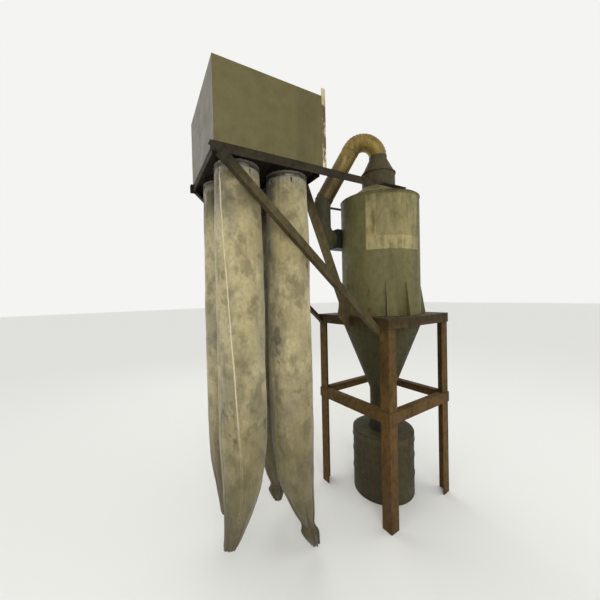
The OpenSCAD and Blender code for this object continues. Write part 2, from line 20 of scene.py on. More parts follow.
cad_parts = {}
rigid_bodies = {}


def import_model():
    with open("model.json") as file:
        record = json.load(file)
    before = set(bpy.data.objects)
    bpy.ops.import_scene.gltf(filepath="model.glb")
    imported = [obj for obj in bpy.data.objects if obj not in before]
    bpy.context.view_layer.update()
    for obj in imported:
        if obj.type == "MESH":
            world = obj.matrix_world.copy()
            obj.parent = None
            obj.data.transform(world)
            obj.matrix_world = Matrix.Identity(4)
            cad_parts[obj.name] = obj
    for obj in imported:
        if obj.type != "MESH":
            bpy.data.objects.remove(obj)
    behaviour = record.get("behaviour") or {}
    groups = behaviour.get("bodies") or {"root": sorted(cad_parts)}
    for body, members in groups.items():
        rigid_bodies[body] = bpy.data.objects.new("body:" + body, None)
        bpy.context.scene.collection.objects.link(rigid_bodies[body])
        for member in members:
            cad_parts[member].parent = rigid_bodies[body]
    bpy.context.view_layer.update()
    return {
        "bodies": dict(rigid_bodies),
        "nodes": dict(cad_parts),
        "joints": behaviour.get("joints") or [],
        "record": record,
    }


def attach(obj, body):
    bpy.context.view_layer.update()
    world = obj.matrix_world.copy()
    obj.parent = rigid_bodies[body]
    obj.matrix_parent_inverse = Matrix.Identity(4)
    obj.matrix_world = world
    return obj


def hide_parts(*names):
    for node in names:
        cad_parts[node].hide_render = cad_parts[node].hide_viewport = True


LOG = logging.getLogger("cyclone")
BODY = "root"
# Noise of Scale 1 has blotches about 450 mm wide, and nearly all its values lie in a band
# 0.42 wide.
NOISE_MM = 450
NOISE_BAND = 0.42
Socket = bpy.types.NodeSocket
Value = float | Socket
Colour = tuple[float, float, float, float] | Socket


def mm(length: float) -> float:
    """A length in metres from one in millimetres."""
    return length * 0.001


def point(x: float, y: float, z: float) -> Vector:
    """A point in metres from one in millimetres."""
    return Vector((mm(x), mm(y), mm(z)))


def linear(hex_text: str) -> tuple[float, float, float, float]:
    """Turns an sRGB hex colour to linear.

    Args:
        hex_text: Six hex digits after a hash.

    Returns:
        Linear RGBA, as Blender's sockets take it.
    """
    parts = [int(hex_text[i:i + 2], 16) / 255 for i in (1, 3, 5)]
    flat = [c / 12.92 if c <= 0.04045 else ((c + 0.055) / 1.055) ** 2.4 for c in parts]
    return (flat[0], flat[1], flat[2], 1.0)


def add_node(tree: bpy.types.NodeTree, kind: str, sockets: dict[Any, Any] | None = None,
             **settings: Any) -> bpy.types.Node:
    """Adds one node with its settings and links.

    Args:
        tree: Shader or geometry tree.
        kind: The node's type name.
        sockets: Input name or index, to a value or to the output that feeds it.
        settings: The node's own properties.

    Returns:
        The new node.
    """
    made = tree.nodes.new(kind)
    for name, value in settings.items():
        setattr(made, name, value)
    for key, value in (sockets or {}).items():
        if isinstance(value, Socket):
            tree.links.new(value, made.inputs[key])
        else:
            made.inputs[key].default_value = value
    return made


# Finishes


class Coat:
    """One material whose colour and relief are built up in layers."""

    def __init__(self, name: str, ground: str) -> None:
        """Starts the material.

        Args:
            name: Name of the finish.
            ground: Colour of the lowest layer.
        """
        self.material = bpy.data.materials.new(name)
        self.material.use_nodes = True
        self.tree = self.material.node_tree
        self.tree.nodes.clear()
        coords = add_node(self.tree, "ShaderNodeTexCoord")
        self.place: Socket = coords.outputs["Object"]
        self.cut: Socket = coords.outputs["UV"]
        self.colour: Colour = linear(ground)
        self.relief: Socket | None = None

    def blotches(self, size_mm: float, share: float, soft: float = 0.1,
                 tall: float = 1.0, detail: float = 6.0, most: Value = 1.0) -> Socket:
        """Blotches of about one size that cover a share of the surface.

        Args:
            size_mm: Width of a blotch.
            share: Share of the surface, from 0 to 1.
            soft: Softness of the edges.
            tall: How many times a blotch is taller than wide, as where dirt runs down.
            detail: Number of finer layers.
            most: A number or another mask that limits this one.

        Returns:
            A mask from 0 to that limit.
        """
        place = add_node(self.tree, "ShaderNodeMapping",
                         {"Vector": self.place, "Scale": (1, 1, 1 / tall)})
        cloud = add_node(self.tree, "ShaderNodeTexNoise",
                         {"Vector": place.outputs[0], "Scale": NOISE_MM / size_mm,
                          "Detail": detail, "Roughness": 0.62})
        edge = 0.5 + (0.5 - share) * NOISE_BAND
        return add_node(self.tree, "ShaderNodeMapRange",
                        {0: cloud.outputs[0], 1: edge - soft, 2: edge + soft, 4: most},
                        interpolation_type="SMOOTHSTEP").outputs[0]

    def heights(self, start_mm: float, end_mm: float, most: Value = 1.0) -> Socket:
        """A mask that grows with height, or with depth where its end lies lower.

        Args:
            start_mm: Height at which it is 0.
            end_mm: Height at which it is full.
            most: A number or another mask that limits this one.

        Returns:
            The mask.
        """
        parts = add_node(self.tree, "ShaderNodeSeparateXYZ", {0: self.place})
        return add_node(self.tree, "ShaderNodeMapRange",
                        {0: parts.outputs[2], 1: mm(start_mm), 2: mm(end_mm), 4: most},
                        interpolation_type="SMOOTHSTEP").outputs[0]

    def lay(self, colour: str, mask: Socket, strength: Value = 1.0) -> None:
        """Lays a colour over what is there.

        Args:
            colour: The layer's hex colour.
            mask: Where it lies.
            strength: How much of it covers, from 0 to 1: a number or a mask.
        """
        share = add_node(self.tree, "ShaderNodeMath", {0: mask, 1: strength},
                         operation="MULTIPLY")
        self.colour = add_node(self.tree, "ShaderNodeMix",
                               {0: share.outputs[0], 6: self.colour, 7: linear(colour)},
                               data_type="RGBA").outputs[2]

    def raise_by(self, height: Socket, depth_mm: float, strength: float) -> None:
        """Adds relief.

        Args:
            height: The pattern, from 0 to 1.
            depth_mm: Its depth.
            strength: How much of it shows.
        """
        sockets = {"Height": height, "Strength": strength, "Distance": mm(depth_mm)}
        if self.relief:
            sockets["Normal"] = self.relief
        self.relief = add_node(self.tree, "ShaderNodeBump", sockets).outputs[0]

    def grit(self, size_mm: float, depth_mm: float, strength: float) -> None:
        """Adds even relief.

        Args:
            size_mm: Width of a grain.
            depth_mm: Its depth.
            strength: How much of it shows.
        """
        grain = add_node(self.tree, "ShaderNodeTexNoise",
                         {"Vector": self.place, "Scale": NOISE_MM / size_mm, "Detail": 4.0})
        self.raise_by(grain.outputs[0], depth_mm, strength)

    def done(self, mask: Socket, smooth: float, rough: float,
             **values: float) -> bpy.types.Material:
        """Closes the coat with its gloss.

        Args:
            mask: Where the surface is rough.
            smooth: Roughness where the mask is 0.
            rough: Roughness where the mask is 1.
            values: Uniform values of the shader's own sockets, with _ for a space.

        Returns:
            The material.
        """
        gloss = add_node(self.tree, "ShaderNodeMapRange", {0: mask, 3: smooth, 4: rough})
        sockets = {name.replace("_", " "): value for name, value in values.items()}
        sockets.update({"Base Color": self.colour, "Roughness": gloss.outputs[0]})
        if self.relief:
            sockets["Normal"] = self.relief
        shader = add_node(self.tree, "ShaderNodeBsdfPrincipled", sockets)
        add_node(self.tree, "ShaderNodeOutputMaterial", {0: shader.outputs[0]})
        return self.material


@dataclass(frozen=True)
class Panel:
    """A faded painted panel on an upright cylinder round the Z axis.

    A plain band down its left side and one along its foot keep more paint than the rest.
    """

    start_deg: float = -158
    band_deg: float = -144
    end_deg: float = -77
    low_mm: float = 1873
    foot_mm: float = 1966
    high_mm: float = 2262
    colour: str = "#a89a6c"
    body_share: float = 0.5
    blur_mm: float = 3
    blur_rad: float = 0.01

    def paint(self, coat: Coat) -> None:
        """Lays what is left of the panel.

        Args:
            coat: The coat that it lies on.
        """
        tree = coat.tree
        # The angle is measured from the panel's middle, clear of the jump at half a turn.
        middle = math.radians((self.start_deg + self.end_deg) / 2)
        turned = add_node(tree, "ShaderNodeVectorRotate",
                          {"Vector": coat.place, "Angle": -middle}, rotation_type="Z_AXIS")
        flat = add_node(tree, "ShaderNodeSeparateXYZ", {0: turned.outputs[0]})
        angle = add_node(tree, "ShaderNodeMath", {0: flat.outputs[1], 1: flat.outputs[0]},
                         operation="ARCTAN2").outputs[0]
        area: Value = 1.0
        for degrees, blur in ((self.start_deg, self.blur_rad), (self.end_deg, -self.blur_rad)):
            edge = math.radians(degrees) - middle
            area = add_node(tree, "ShaderNodeMapRange",
                            {0: angle, 1: edge - blur, 2: edge + blur, 4: area}).outputs[0]
        area = coat.heights(self.low_mm - self.blur_mm, self.low_mm + self.blur_mm, area)
        area = coat.heights(self.high_mm + self.blur_mm, self.high_mm - self.blur_mm, area)
        edge = math.radians(self.band_deg) - middle
        band = add_node(tree, "ShaderNodeMapRange",
                        {0: angle, 1: edge + self.blur_rad, 2: edge - self.blur_rad})
        foot = coat.heights(self.foot_mm + 2 * self.blur_mm, self.foot_mm - 2 * self.blur_mm)
        strong = add_node(tree, "ShaderNodeMath", {0: band.outputs[0], 1: foot},
                          operation="MAXIMUM")
        kept = add_node(tree, "ShaderNodeMapRange",
                        {0: strong.outputs[0], 3: self.body_share, 4: 1.0})
        worn = coat.blotches(26, 0.7, soft=0.12, tall=3, detail=8, most=area)
        coat.lay(self.colour, worn, kept.outputs[0])


@dataclass(frozen=True)
class WornPaint:
    """Old brushed-on enamel over sheet steel.

    It gives a satin skin with faded patches, grime run down in streaks and spots of rust.
    """

    name: str
    paint: str
    faded: str
    grime: str
    rust: str = "#5d3f22"
    patch_mm: float = 260
    streak_mm: float = 45
    grime_share: float = 0.35
    rust_share: float = 0.08
    rust_mm: float = 34
    roughness: float = 0.52
    dent_mm: float = 4
    panel: Panel | None = None

    def build(self) -> bpy.types.Material:
        """Builds the finish.

        Returns:
            The worn paint as a material.
        """
        coat = Coat(self.name, self.paint)
        coat.lay(self.faded, coat.blotches(self.patch_mm, 0.5, soft=0.2))
        if self.panel:
            self.panel.paint(coat)
        streaks = coat.blotches(self.streak_mm, self.grime_share, soft=0.16, tall=6)
        coat.lay(self.grime, streaks, 0.6)
        dust = coat.blotches(self.streak_mm * 0.35, 0.42, soft=0.2, detail=8)
        coat.lay(self.grime, dust, 0.28)
        rust = coat.blotches(self.rust_mm, self.rust_share, soft=0.05, tall=1.7, detail=9)
        coat.lay(self.rust, rust, 0.9)
        coat.grit(90, self.dent_mm, 0.35)
        coat.raise_by(rust, 1.2, 0.35)
        coat.grit(3, 0.8, 0.2)
        return coat.done(dust, self.roughness, self.roughness + 0.25, Specular_IOR_Level=0.25)


@dataclass(frozen=True)
class BrownAngle:
    """Hot-rolled angle iron with one coat of red-brown primer gone dull.

    It gives an uneven matt brown, with pale rust bloom, dark scale and darker upper ends.
    """

    name: str
    primer: str = "#4f3a1b"
    bloom: str = "#634a21"
    scale: str = "#36260f"
    dark_top: str = "#2b2412"
    dark_top_from_mm: float = 1270

    def build(self) -> bpy.types.Material:
        """Builds the finish.

        Returns:
            The old primer as a material.
        """
        coat = Coat(self.name, self.primer)
        coat.lay(self.bloom, coat.blotches(120, 0.5, soft=0.2, tall=3))
        speck = coat.blotches(13, 0.4, soft=0.12, tall=1.4, detail=8)
        coat.lay(self.scale, speck, 0.42)
        coat.lay(self.scale, coat.blotches(60, 0.34, soft=0.12, tall=2.5, detail=8), 0.6)
        coat.lay(self.bloom, coat.blotches(24, 0.24, soft=0.06, tall=3, detail=9), 0.55)
        # Darker towards the top; on the arms this is painted shade under the plenum.
        coat.lay(self.dark_top, coat.heights(self.dark_top_from_mm, self.dark_top_from_mm + 110), 0.75)
        coat.raise_by(speck, 1.0, 0.35)
        coat.grit(2.2, 0.8, 0.3)
        return coat.done(speck, 0.65, 0.9, Specular_IOR_Level=0.2)


@dataclass(frozen=True)
class OiledHose:
    """Ribbed metal hose of galvanised strip, browned by oil and dust.

    It gives golden zinc that still glints on the ribs, under brown stains.
    """

    name: str
    zinc: str = "#8c7637"
    stain: str = "#65501f"
    dark: str = "#2c210d"

    def build(self) -> bpy.types.Material:
        """Builds the finish.

        Returns:
            The browned strip as a material.
        """
        coat = Coat(self.name, self.zinc)
        stain = coat.blotches(100, 0.55, soft=0.2, tall=1.3)
        coat.lay(self.stain, stain)
        coat.lay(self.dark, coat.blotches(30, 0.36, soft=0.12, tall=2.4, detail=8), 0.6)
        # The hose is darker towards its lower end.
        coat.lay(self.dark, coat.heights(2700, 2400), 0.72)
        coat.grit(8, 1.5, 0.3)
        return coat.done(stain, 0.4, 0.62, Metallic=0.45)


@dataclass(frozen=True)
class DullSteel:
    """Bare rolled strap or screw steel.

    It gives a soft grey sheen broken by brown tarnish.
    """

    name: str
    steel: str = "#8f8b7e"
    tarnish: str = "#5c4c36"
    smooth: float = 0.4

    def build(self) -> bpy.types.Material:
        """Builds the finish.

        Returns:
            The dull steel as a material.
        """
        coat = Coat(self.name, self.steel)
        tarnish = coat.blotches(18, 0.42, soft=0.14, detail=7)
        coat.lay(self.tarnish, tarnish)
        return coat.done(tarnish, self.smooth, self.smooth + 0.3, Metallic=0.8)


@dataclass(frozen=True)
class TwistedCord:
    """Twisted cotton or hemp, matt: a pale line on the cloth, or a dirty one at its foot."""

    name: str
    fibre: str
    dirt: str

    def build(self) -> bpy.types.Material:
        """Builds the finish.

        Returns:
            The cord as a material.
        """
        coat = Coat(self.name, self.fibre)
        dirt = coat.blotches(60, 0.5, soft=0.2, tall=3)
        coat.lay(self.dirt, dirt, 0.7)
        return coat.done(dirt, 0.85, 0.95)


@dataclass(frozen=True)
class SootyCotton:
    """Woven cotton sateen, napped inside and caked with dust.

    It gives a matt cream ground mottled with grey and brown, darker below the clamp band and
    olive brown towards the foot, where the dust collects.
    """

    name: str
    clean: str = "#c2b58c"
    caked: str = "#988a60"
    grey: str = "#7b7765"
    soot: str = "#322d21"
    damp: str = "#4b4427"
    cuff: str = "#938f82"
    tape: str = "#d9cfb2"
    tape_mm: float = 7
    girth_mm: float = 792
    thread_mm: float = 2.4

    def build(self) -> bpy.types.Material:
        """Builds the finish, which reads the cloth's own UV map in metres.

        Returns:
            The cloth as a material.
        """
        coat = Coat(self.name, self.clean)
        coat.lay(self.caked, coat.blotches(240, 0.5, soft=0.14, tall=1.5, detail=8), 0.9)
        coat.lay(self.grey, coat.blotches(150, 0.36, soft=0.1, tall=1.6, detail=9), 0.6)
        coat.lay(self.damp, coat.blotches(34, 0.4, soft=0.09, tall=1.2, detail=10), 0.5)
        coat.lay(self.clean, coat.blotches(46, 0.3, soft=0.08, tall=1.8, detail=10), 0.6)
        fine = coat.blotches(8, 0.46, soft=0.12, tall=1.2, detail=8)
        coat.lay(self.grey, fine, 0.34)
        coat.lay(self.damp, coat.heights(1350, 200), 0.8)
        coat.lay(self.soot, coat.heights(420, 60), 0.6)
        # Darker in blotches below the clamp band, fading out by 1910 mm.
        band_darkening = coat.heights(1910, 2140, coat.blotches(130, 0.76, soft=0.1, tall=1.4, detail=9))
        coat.lay(self.soot, band_darkening, 0.8)
        coat.lay(self.soot, coat.blotches(70, 0.14, soft=0.03, tall=1.6, detail=10), 0.55)
        # The cuff stands clear of that darkening and only greys.
        coat.lay(self.cuff, coat.heights(2186, 2212), 0.7)
        # The lap seam's tape runs where the cloth's two cut edges meet, at both ends of U.
        across = add_node(coat.tree, "ShaderNodeSeparateXYZ", {0: coat.cut})
        off = add_node(coat.tree, "ShaderNodeMath",
                       {0: across.outputs[0], 1: mm(self.girth_mm / 2)}, operation="PINGPONG")
        tape = add_node(coat.tree, "ShaderNodeMapRange",
                        {0: off.outputs[0], 1: mm(self.tape_mm / 2), 2: mm(self.tape_mm / 3)})
        coat.lay(self.tape, coat.heights(620, 1150, tape.outputs[0]), 0.8)
        coat.grit(60, 14, 0.5)
        coat.grit(22, 5, 0.4)
        # Threads lie about 0.4 mm apart; they are drawn six times coarser so that they show.
        threads = []
        for direction in ("X", "Y"):
            threads.append(add_node(coat.tree, "ShaderNodeTexWave",
                                    {"Vector": coat.cut, "Distortion": 0.6, "Detail": 1.0,
                                     "Scale": 1000 / self.thread_mm / math.tau},
                                    bands_direction=direction).outputs[1])
        weave = add_node(coat.tree, "ShaderNodeMath", {0: threads[0], 1: threads[1]},
                         operation="ADD")
        coat.raise_by(weave.outputs[0], 0.5, 0.2)
        return coat.done(fine, 0.9, 0.96, Sheen_Weight=0.25, Sheen_Roughness=0.5,
                         Specular_IOR_Level=0.2)


class Paints(Enum):
    """The finishes that the pieces share."""

    # Iron that stays brown and dull even where it is lit.
    STAND = BrownAngle("brown_primed_angle")
    # The same iron, olive brown on the braces, with painted shade that makes it nearly black
    # under the plenum.
    ARMS = BrownAngle("primed_angle_painted_shade", "#453b25", "#5a4f33", "#2c2414", "#17130b", 2120)
    # Olive faded in clouds, with the ghost of a painted panel.
    BARREL = WornPaint("olive_enamel", "#65613b", "#726d45", "#3e3a20", panel=Panel())
    # The same olive, drier and yellower where dust has settled, and painted paler where light
    # falls on the roof.
    ROOF = WornPaint("olive_enamel_painted_light", "#796d42", "#867b50", "#453d23", grime_share=0.5)
    # A darker olive, in the barrel's shade.
    CONE = WornPaint("dark_olive_enamel", "#3d3b1f", "#494726", "#232112")
    # Oily brown plate, with rust coming through.
    DECK = WornPaint("greasy_olive_enamel", "#3d3621", "#50472e", "#221e12", rust_share=0.3)
    # Olive gone brown with soot.
    HOOD = WornPaint("sooty_olive_enamel", "#40391f", "#4d4627", "#262212", rust_share=0.12)
    # The darkest green, a little glossier than the rest.
    INLET = WornPaint("dark_green_enamel", "#26332a", "#303f34", "#181f17", roughness=0.42)
    # Grey-green sheet with broad clouds of rust.
    LOWER_DUCT = WornPaint("grey_green_enamel", "#47472f", "#57573f", "#332b19",
                           rust="#5e4320", rust_share=0.24, rust_mm=110)
    # Brown under a skin of dust, and an olive lid.
    DRUM = WornPaint("dusty_brown_enamel", "#3d3720", "#4a442b", "#262112", rust_share=0.16)
    LID = WornPaint("dusty_olive_enamel", "#454024", "#524d31", "#2a2614", rust_share=0.14)
    # Grey-black rubber, matt with dust.
    SLEEVE = WornPaint("dusty_moulded_rubber", "#34342a", "#444439", "#25241b",
                       rust="#3a392e", roughness=0.75, dent_mm=2)
    # Broad flat panels, almost even in tone.
    PLENUM = WornPaint("drab_panel_enamel", "#665e3b", "#5d5634", "#4b4529", patch_mm=420,
                       streak_mm=90, grime_share=0.3, rust_share=0.03, roughness=0.55)
    # The end panels carry painted light: they are paler and greyer than the front, as lit faces.
    PLENUM_END = WornPaint("grey_panel_enamel_painted_light", "#85827a", "#7a786d", "#615e50",
                           patch_mm=420, streak_mm=90, grime_share=0.25, rust_share=0.03,
                           roughness=0.55)
    # Plate painted near black as the shade under the plenum, which makes the bags' cuffs stand
    # out.
    SHEET = WornPaint("steel_plate_painted_shade", "#24221a", "#302d22", "#171610", roughness=0.8)
    # White flakes on brown.
    STRIP = WornPaint("flaking_cream_enamel", "#ddd4b8", "#a58d55", "#6a5226",
                      rust="#4f3a1c", rust_share=0.36, rust_mm=30, patch_mm=110, streak_mm=24)
    # Golden-brown hose, with ribs that are rubbed paler.
    HOSE = OiledHose("oiled_metal_hose")
    RIBS = OiledHose("rubbed_hose_rib", "#a8914e", "#7f6a33", "#4a3a1a")
    # A grey glint round each bag, and dark screw heads.
    BAND = DullSteel("dull_strap_steel")
    SCREW = DullSteel("rusty_screw_steel", "#5c564a", "#4a3520", 0.6)
    # Cream cloth, mottled and sooty, with pale stitches and dirty twine.
    CLOTH = SootyCotton("sooty_cotton_sateen")
    THREAD = TwistedCord("bleached_cotton_thread", "#d8cdb0", "#9a8e6a")
    TWINE = TwistedCord("oily_hemp_twine", "#6e6244", "#3c3420")


class Wardrobe:
    """Builds each finish once, when a piece first asks for it."""

    def __init__(self) -> None:
        """Starts with nothing built."""
        self.built: dict[Paints, bpy.types.Material] = {}

    def get(self, paint: Paints) -> bpy.types.Material:
        """Gives one finish, building it the first time.

        Args:
            paint: The finish.

        Returns:
            Its material.
        """
        if paint not in self.built:
            self.built[paint] = paint.value.build()
        return self.built[paint]


# Geometry Nodes


class Head(Enum):
    """Shapes of fastener heads."""

    HEX = "hex"
    RIVET = "rivet"


class NodeTool:
    """A Geometry Nodes tree with named inputs, run on a source mesh to give a plain mesh."""

    def __init__(self, name: str, sizes: dict[str, tuple[str, Any]]) -> None:
        """Makes the tree's interface.

        Args:
            name: Name of the tree.
            sizes: Input name, to its socket type and default.
        """
        self.tree = bpy.data.node_groups.new(name, "GeometryNodeTree")
        face = self.tree.interface
        face.new_socket(name="Geometry", in_out="INPUT", socket_type="NodeSocketGeometry")
        face.new_socket(name="Geometry", in_out="OUTPUT", socket_type="NodeSocketGeometry")
        self.keys: dict[str, str] = {}
        sizes = {**sizes, "Finish": ("Material", None)}
        for label, (kind, default) in sizes.items():
            socket = face.new_socket(name=label, in_out="INPUT", socket_type=f"NodeSocket{kind}")
            if default is not None:
                socket.default_value = default
            self.keys[label] = socket.identifier
        self.given = add_node(self.tree, "NodeGroupInput").outputs

    def out(self, kind: str, *values: Any, **settings: Any) -> Socket:
        """Adds a node and gives its first output.

        Args:
            kind: The node's type name.
            values: Its first inputs in order, or one dict of inputs.
            settings: The node's own properties.

        Returns:
            The first output.
        """
        sockets = values[0] if values and isinstance(values[0], dict) else dict(enumerate(values))
        return add_node(self.tree, kind, sockets, **settings).outputs[0]

    def join(self, *parts: Socket) -> Socket:
        """Joins geometry.

        Args:
            parts: Outputs that give the parts.

        Returns:
            All parts as one.
        """
        made = add_node(self.tree, "GeometryNodeJoinGeometry")
        for part in parts:
            self.tree.links.new(part, made.inputs[0])
        return made.outputs[0]

    def close(self, geometry: Socket) -> None:
        """Ends the tree: instances become real and take the finish.

        Args:
            geometry: What the tree gives.
        """
        real = self.out("GeometryNodeRealizeInstances", geometry)
        coat = self.out("GeometryNodeSetMaterial", {"Geometry": real,
                                                    "Material": self.given["Finish"]})
        add_node(self.tree, "NodeGroupOutput", {0: coat})

    def run(self, name: str, source: bpy.types.Mesh, finish: bpy.types.Material,
            **sizes: Any) -> bpy.types.Object:
        """Runs the tree on a mesh.

        Args:
            name: Name of the piece.
            source: Points, edges or faces that the tree works on.
            finish: Material of the result.
            sizes: Values of the named inputs.

        Returns:
            A plain mesh object at the origin.
        """
        piece = bpy.data.objects.new(name, source)
        bpy.context.scene.collection.objects.link(piece)
        modifier = piece.modifiers.new("tool", "NODES")
        modifier.node_group = self.tree
        modifier[self.keys["Finish"]] = finish
        for label, value in sizes.items():
            modifier[self.keys[label]] = value
        bpy.context.view_layer.update()
        graph = bpy.context.evaluated_depsgraph_get()
        mesh = bpy.data.meshes.new_from_object(piece.evaluated_get(graph), depsgraph=graph)
        piece.modifiers.clear()
        piece.data = mesh
        mesh.name = name
        return piece


def fastener_tool(head: Head) -> NodeTool:
    """A head on a washer at each source point, turned to the point's aim.

    Args:
        head: Shape of the head.

    Returns:
        The tool.
    """
    tool = NodeTool(f"fasteners_{head.value}",
                    {"Radius": ("Float", 0.006), "Height": ("Float", 0.004),
                     "Washer": ("Float", 0.009), "Plate": ("Float", 0.0016),
                     "Seed": ("Int", 1)})
    given, out = tool.given, tool.out
    if head is Head.HEX:
        shape = out("GeometryNodeMeshCylinder", {"Vertices": 6, "Radius": given["Radius"],
                                                 "Depth": given["Height"]})
        lift = out("ShaderNodeMath", given["Height"], 0.5, operation="MULTIPLY")
    else:
        ball = out("GeometryNodeMeshUVSphere", {"Segments": 12, "Rings": 8,
                                                "Radius": given["Radius"]})
        shape = out("GeometryNodeTransform", {"Geometry": ball, "Scale": (1, 1, 0.55)})
        lift = out("ShaderNodeMath", given["Height"], 0.1, operation="MULTIPLY")
    placed = out("GeometryNodeTransform",
                 {"Geometry": shape, "Translation": out("ShaderNodeCombineXYZ", {2: lift})})
    washer = out("GeometryNodeMeshCylinder", {"Vertices": 16, "Radius": given["Washer"],
                                              "Depth": given["Plate"]})
    aim = out("GeometryNodeInputNamedAttribute", {"Name": "aim"}, data_type="FLOAT_VECTOR")
    turned = out("FunctionNodeAlignRotationToVector", {"Vector": aim}, axis="Z")
    chance = add_node(tool.tree, "FunctionNodeRandomValue",
                      {"Max": math.tau, "Seed": given["Seed"]})
    twist = out("FunctionNodeAxisAngleToRotation", {"Axis": (0, 0, 1),
                                                    "Angle": chance.outputs[1]})
    final = out("FunctionNodeRotateRotation", turned, twist, rotation_space="LOCAL")
    tool.close(out("GeometryNodeInstanceOnPoints",
                   {"Points": given["Geometry"], "Instance": tool.join(placed, washer),
                    "Rotation": final}))
    return tool


def bead_tool() -> NodeTool:
    """Blobs in a row along each edge line: a weld where they overlap, else stitches.

    Returns:
        The tool.
    """
    tool = NodeTool("bead_row", {"Radius": ("Float", 0.004), "Spacing": ("Float", 0.005),
                                 "Long": ("Float", 1.0), "Uneven": ("Float", 0.25),
                                 "Seed": ("Int", 1)})
    given, out = tool.given, tool.out
    line = out("GeometryNodeMeshToCurve", given["Geometry"])
    dots = out("GeometryNodeResampleCurve", {"Curve": line, "Length": given["Spacing"]},
               mode="LENGTH")
    blob = out("GeometryNodeMeshIcoSphere", {"Radius": given["Radius"], "Subdivisions": 1})
    shape = out("GeometryNodeTransform",
                {"Geometry": blob, "Scale": out("ShaderNodeCombineXYZ", given["Long"], 1.0, 1.0)})
    turned = out("FunctionNodeAlignRotationToVector",
                 {"Vector": out("GeometryNodeInputTangent")}, axis="X")
    least = out("ShaderNodeMath", 1.0, given["Uneven"], operation="SUBTRACT")
    size = add_node(tool.tree, "FunctionNodeRandomValue",
                    {2: least, 3: 1.0, "Seed": given["Seed"]})
    rows = out("GeometryNodeInstanceOnPoints", {"Points": dots, "Instance": shape,
                                                "Rotation": turned, "Scale": size.outputs[1]})
    tool.close(out("GeometryNodeSetShadeSmooth", out("GeometryNodeRealizeInstances", rows)))
    return tool


def wire_tool() -> NodeTool:
    """A round wire along each edge line, as a hose's rib or twine.

    Returns:
        The tool.
    """
    tool = NodeTool("round_wire", {"Radius": ("Float", 0.003), "Sides": ("Int", 8)})
    line = tool.out("GeometryNodeMeshToCurve", tool.given["Geometry"])
    ring = tool.out("GeometryNodeCurvePrimitiveCircle",
                    {"Resolution": tool.given["Sides"], "Radius": tool.given["Radius"]})
    tube = tool.out("GeometryNodeCurveToMesh", {"Curve": line, "Profile Curve": ring,
                                                "Fill Caps": True})
    tool.close(tool.out("GeometryNodeSetShadeSmooth", tube))
    return tool


def bend_tool() -> NodeTool:
    """A segmented duct bend.

    It starts at the origin going up and turns towards +X. Straight segments are mitred round
    the bend's centre; the wall is closed, from the outer skin round the rims to the bore.

    Returns:
        The tool.
    """
    tool = NodeTool("segmented_bend", {"Bend": ("Float", 0.1), "Tube": ("Float", 0.06),
                                       "Wall": ("Float", 0.002), "Turn": ("Float", 1.5),
                                       "Segments": ("Int", 4), "Sides": ("Int", 48)})
    given, out = tool.given, tool.out
    calc = "ShaderNodeMath"
    step = out(calc, given["Turn"], given["Segments"], operation="DIVIDE")
    rings = out(calc, given["Segments"], 2.0, operation="ADD")
    both = out(calc, rings, 2.0, operation="MULTIPLY")
    across = out(calc, given["Sides"], 1.0, operation="ADD")
    index = out("GeometryNodeInputIndex")
    row = out(calc, out(calc, out(calc, index, 0.5, operation="ADD"), across,
                        operation="DIVIDE"), operation="FLOOR")
    side = out(calc, index, out(calc, row, across, operation="MULTIPLY"), operation="SUBTRACT")
    wrapped = out(calc, row, both, operation="MODULO")
    # Rows past the last ring come back along the bore.
    bore = out(calc, wrapped, out(calc, rings, 0.5, operation="SUBTRACT"),
               operation="GREATER_THAN")
    last = out(calc, both, 1.0, operation="SUBTRACT")
    back = out(calc, bore, out(calc, last, out(calc, wrapped, 2.0, operation="MULTIPLY"),
                               operation="SUBTRACT"), operation="MULTIPLY")
    ring = out(calc, wrapped, back, operation="ADD")
    free = out(calc, out(calc, ring, 0.5, operation="SUBTRACT"), step, operation="MULTIPLY")
    turned = out(calc, out(calc, free, 0.0, operation="MAXIMUM"), given["Turn"],
                 operation="MINIMUM")
    mitred = out(calc, out(calc, out(calc, free, turned, operation="SUBTRACT"),
                           operation="ABSOLUTE"), 0.0001, operation="LESS_THAN")
    half = out(calc, out(calc, step, 0.5, operation="MULTIPLY"), operation="COSINE")
    spread = out(calc, out(calc, 1.0, half, operation="DIVIDE"), 1.0, operation="SUBTRACT")
    stretch = out(calc, out(calc, mitred, spread, operation="MULTIPLY"), 1.0, operation="ADD")
    angle = out(calc, side, out(calc, math.tau, given["Sides"], operation="DIVIDE"),
                operation="MULTIPLY")
    radius = out(calc, given["Tube"], out(calc, bore, given["Wall"], operation="MULTIPLY"),
                 operation="SUBTRACT")
    reach = out(calc, stretch, out(calc, given["Bend"], out(
        calc, radius, out(calc, angle, operation="COSINE"), operation="MULTIPLY"),
        operation="ADD"), operation="MULTIPLY")
    spot = out("ShaderNodeCombineXYZ",
               out(calc, given["Bend"], out(calc, reach, out(calc, turned, operation="COSINE"),
                                            operation="MULTIPLY"), operation="SUBTRACT"),
               out(calc, radius, out(calc, angle, operation="SINE"), operation="MULTIPLY"),
               out(calc, reach, out(calc, turned, operation="SINE"), operation="MULTIPLY"))
    rows = out(calc, both, 1.0, operation="ADD")
    grid = out("GeometryNodeMeshGrid", {"Vertices X": rows, "Vertices Y": across})
    skin = out("GeometryNodeSetPosition", {"Geometry": grid, "Position": spot})
    tool.close(out("GeometryNodeMergeByDistance", skin))
    return tool


class Tools:
    """The Geometry Nodes trees that the sub-assemblies share."""

    def __init__(self) -> None:
        """Builds each tree once."""
        self.hex = fastener_tool(Head.HEX)
        self.rivet = fastener_tool(Head.RIVET)
        self.bead = bead_tool()
        self.wire = wire_tool()
        self.bend = bend_tool()


# Meshes


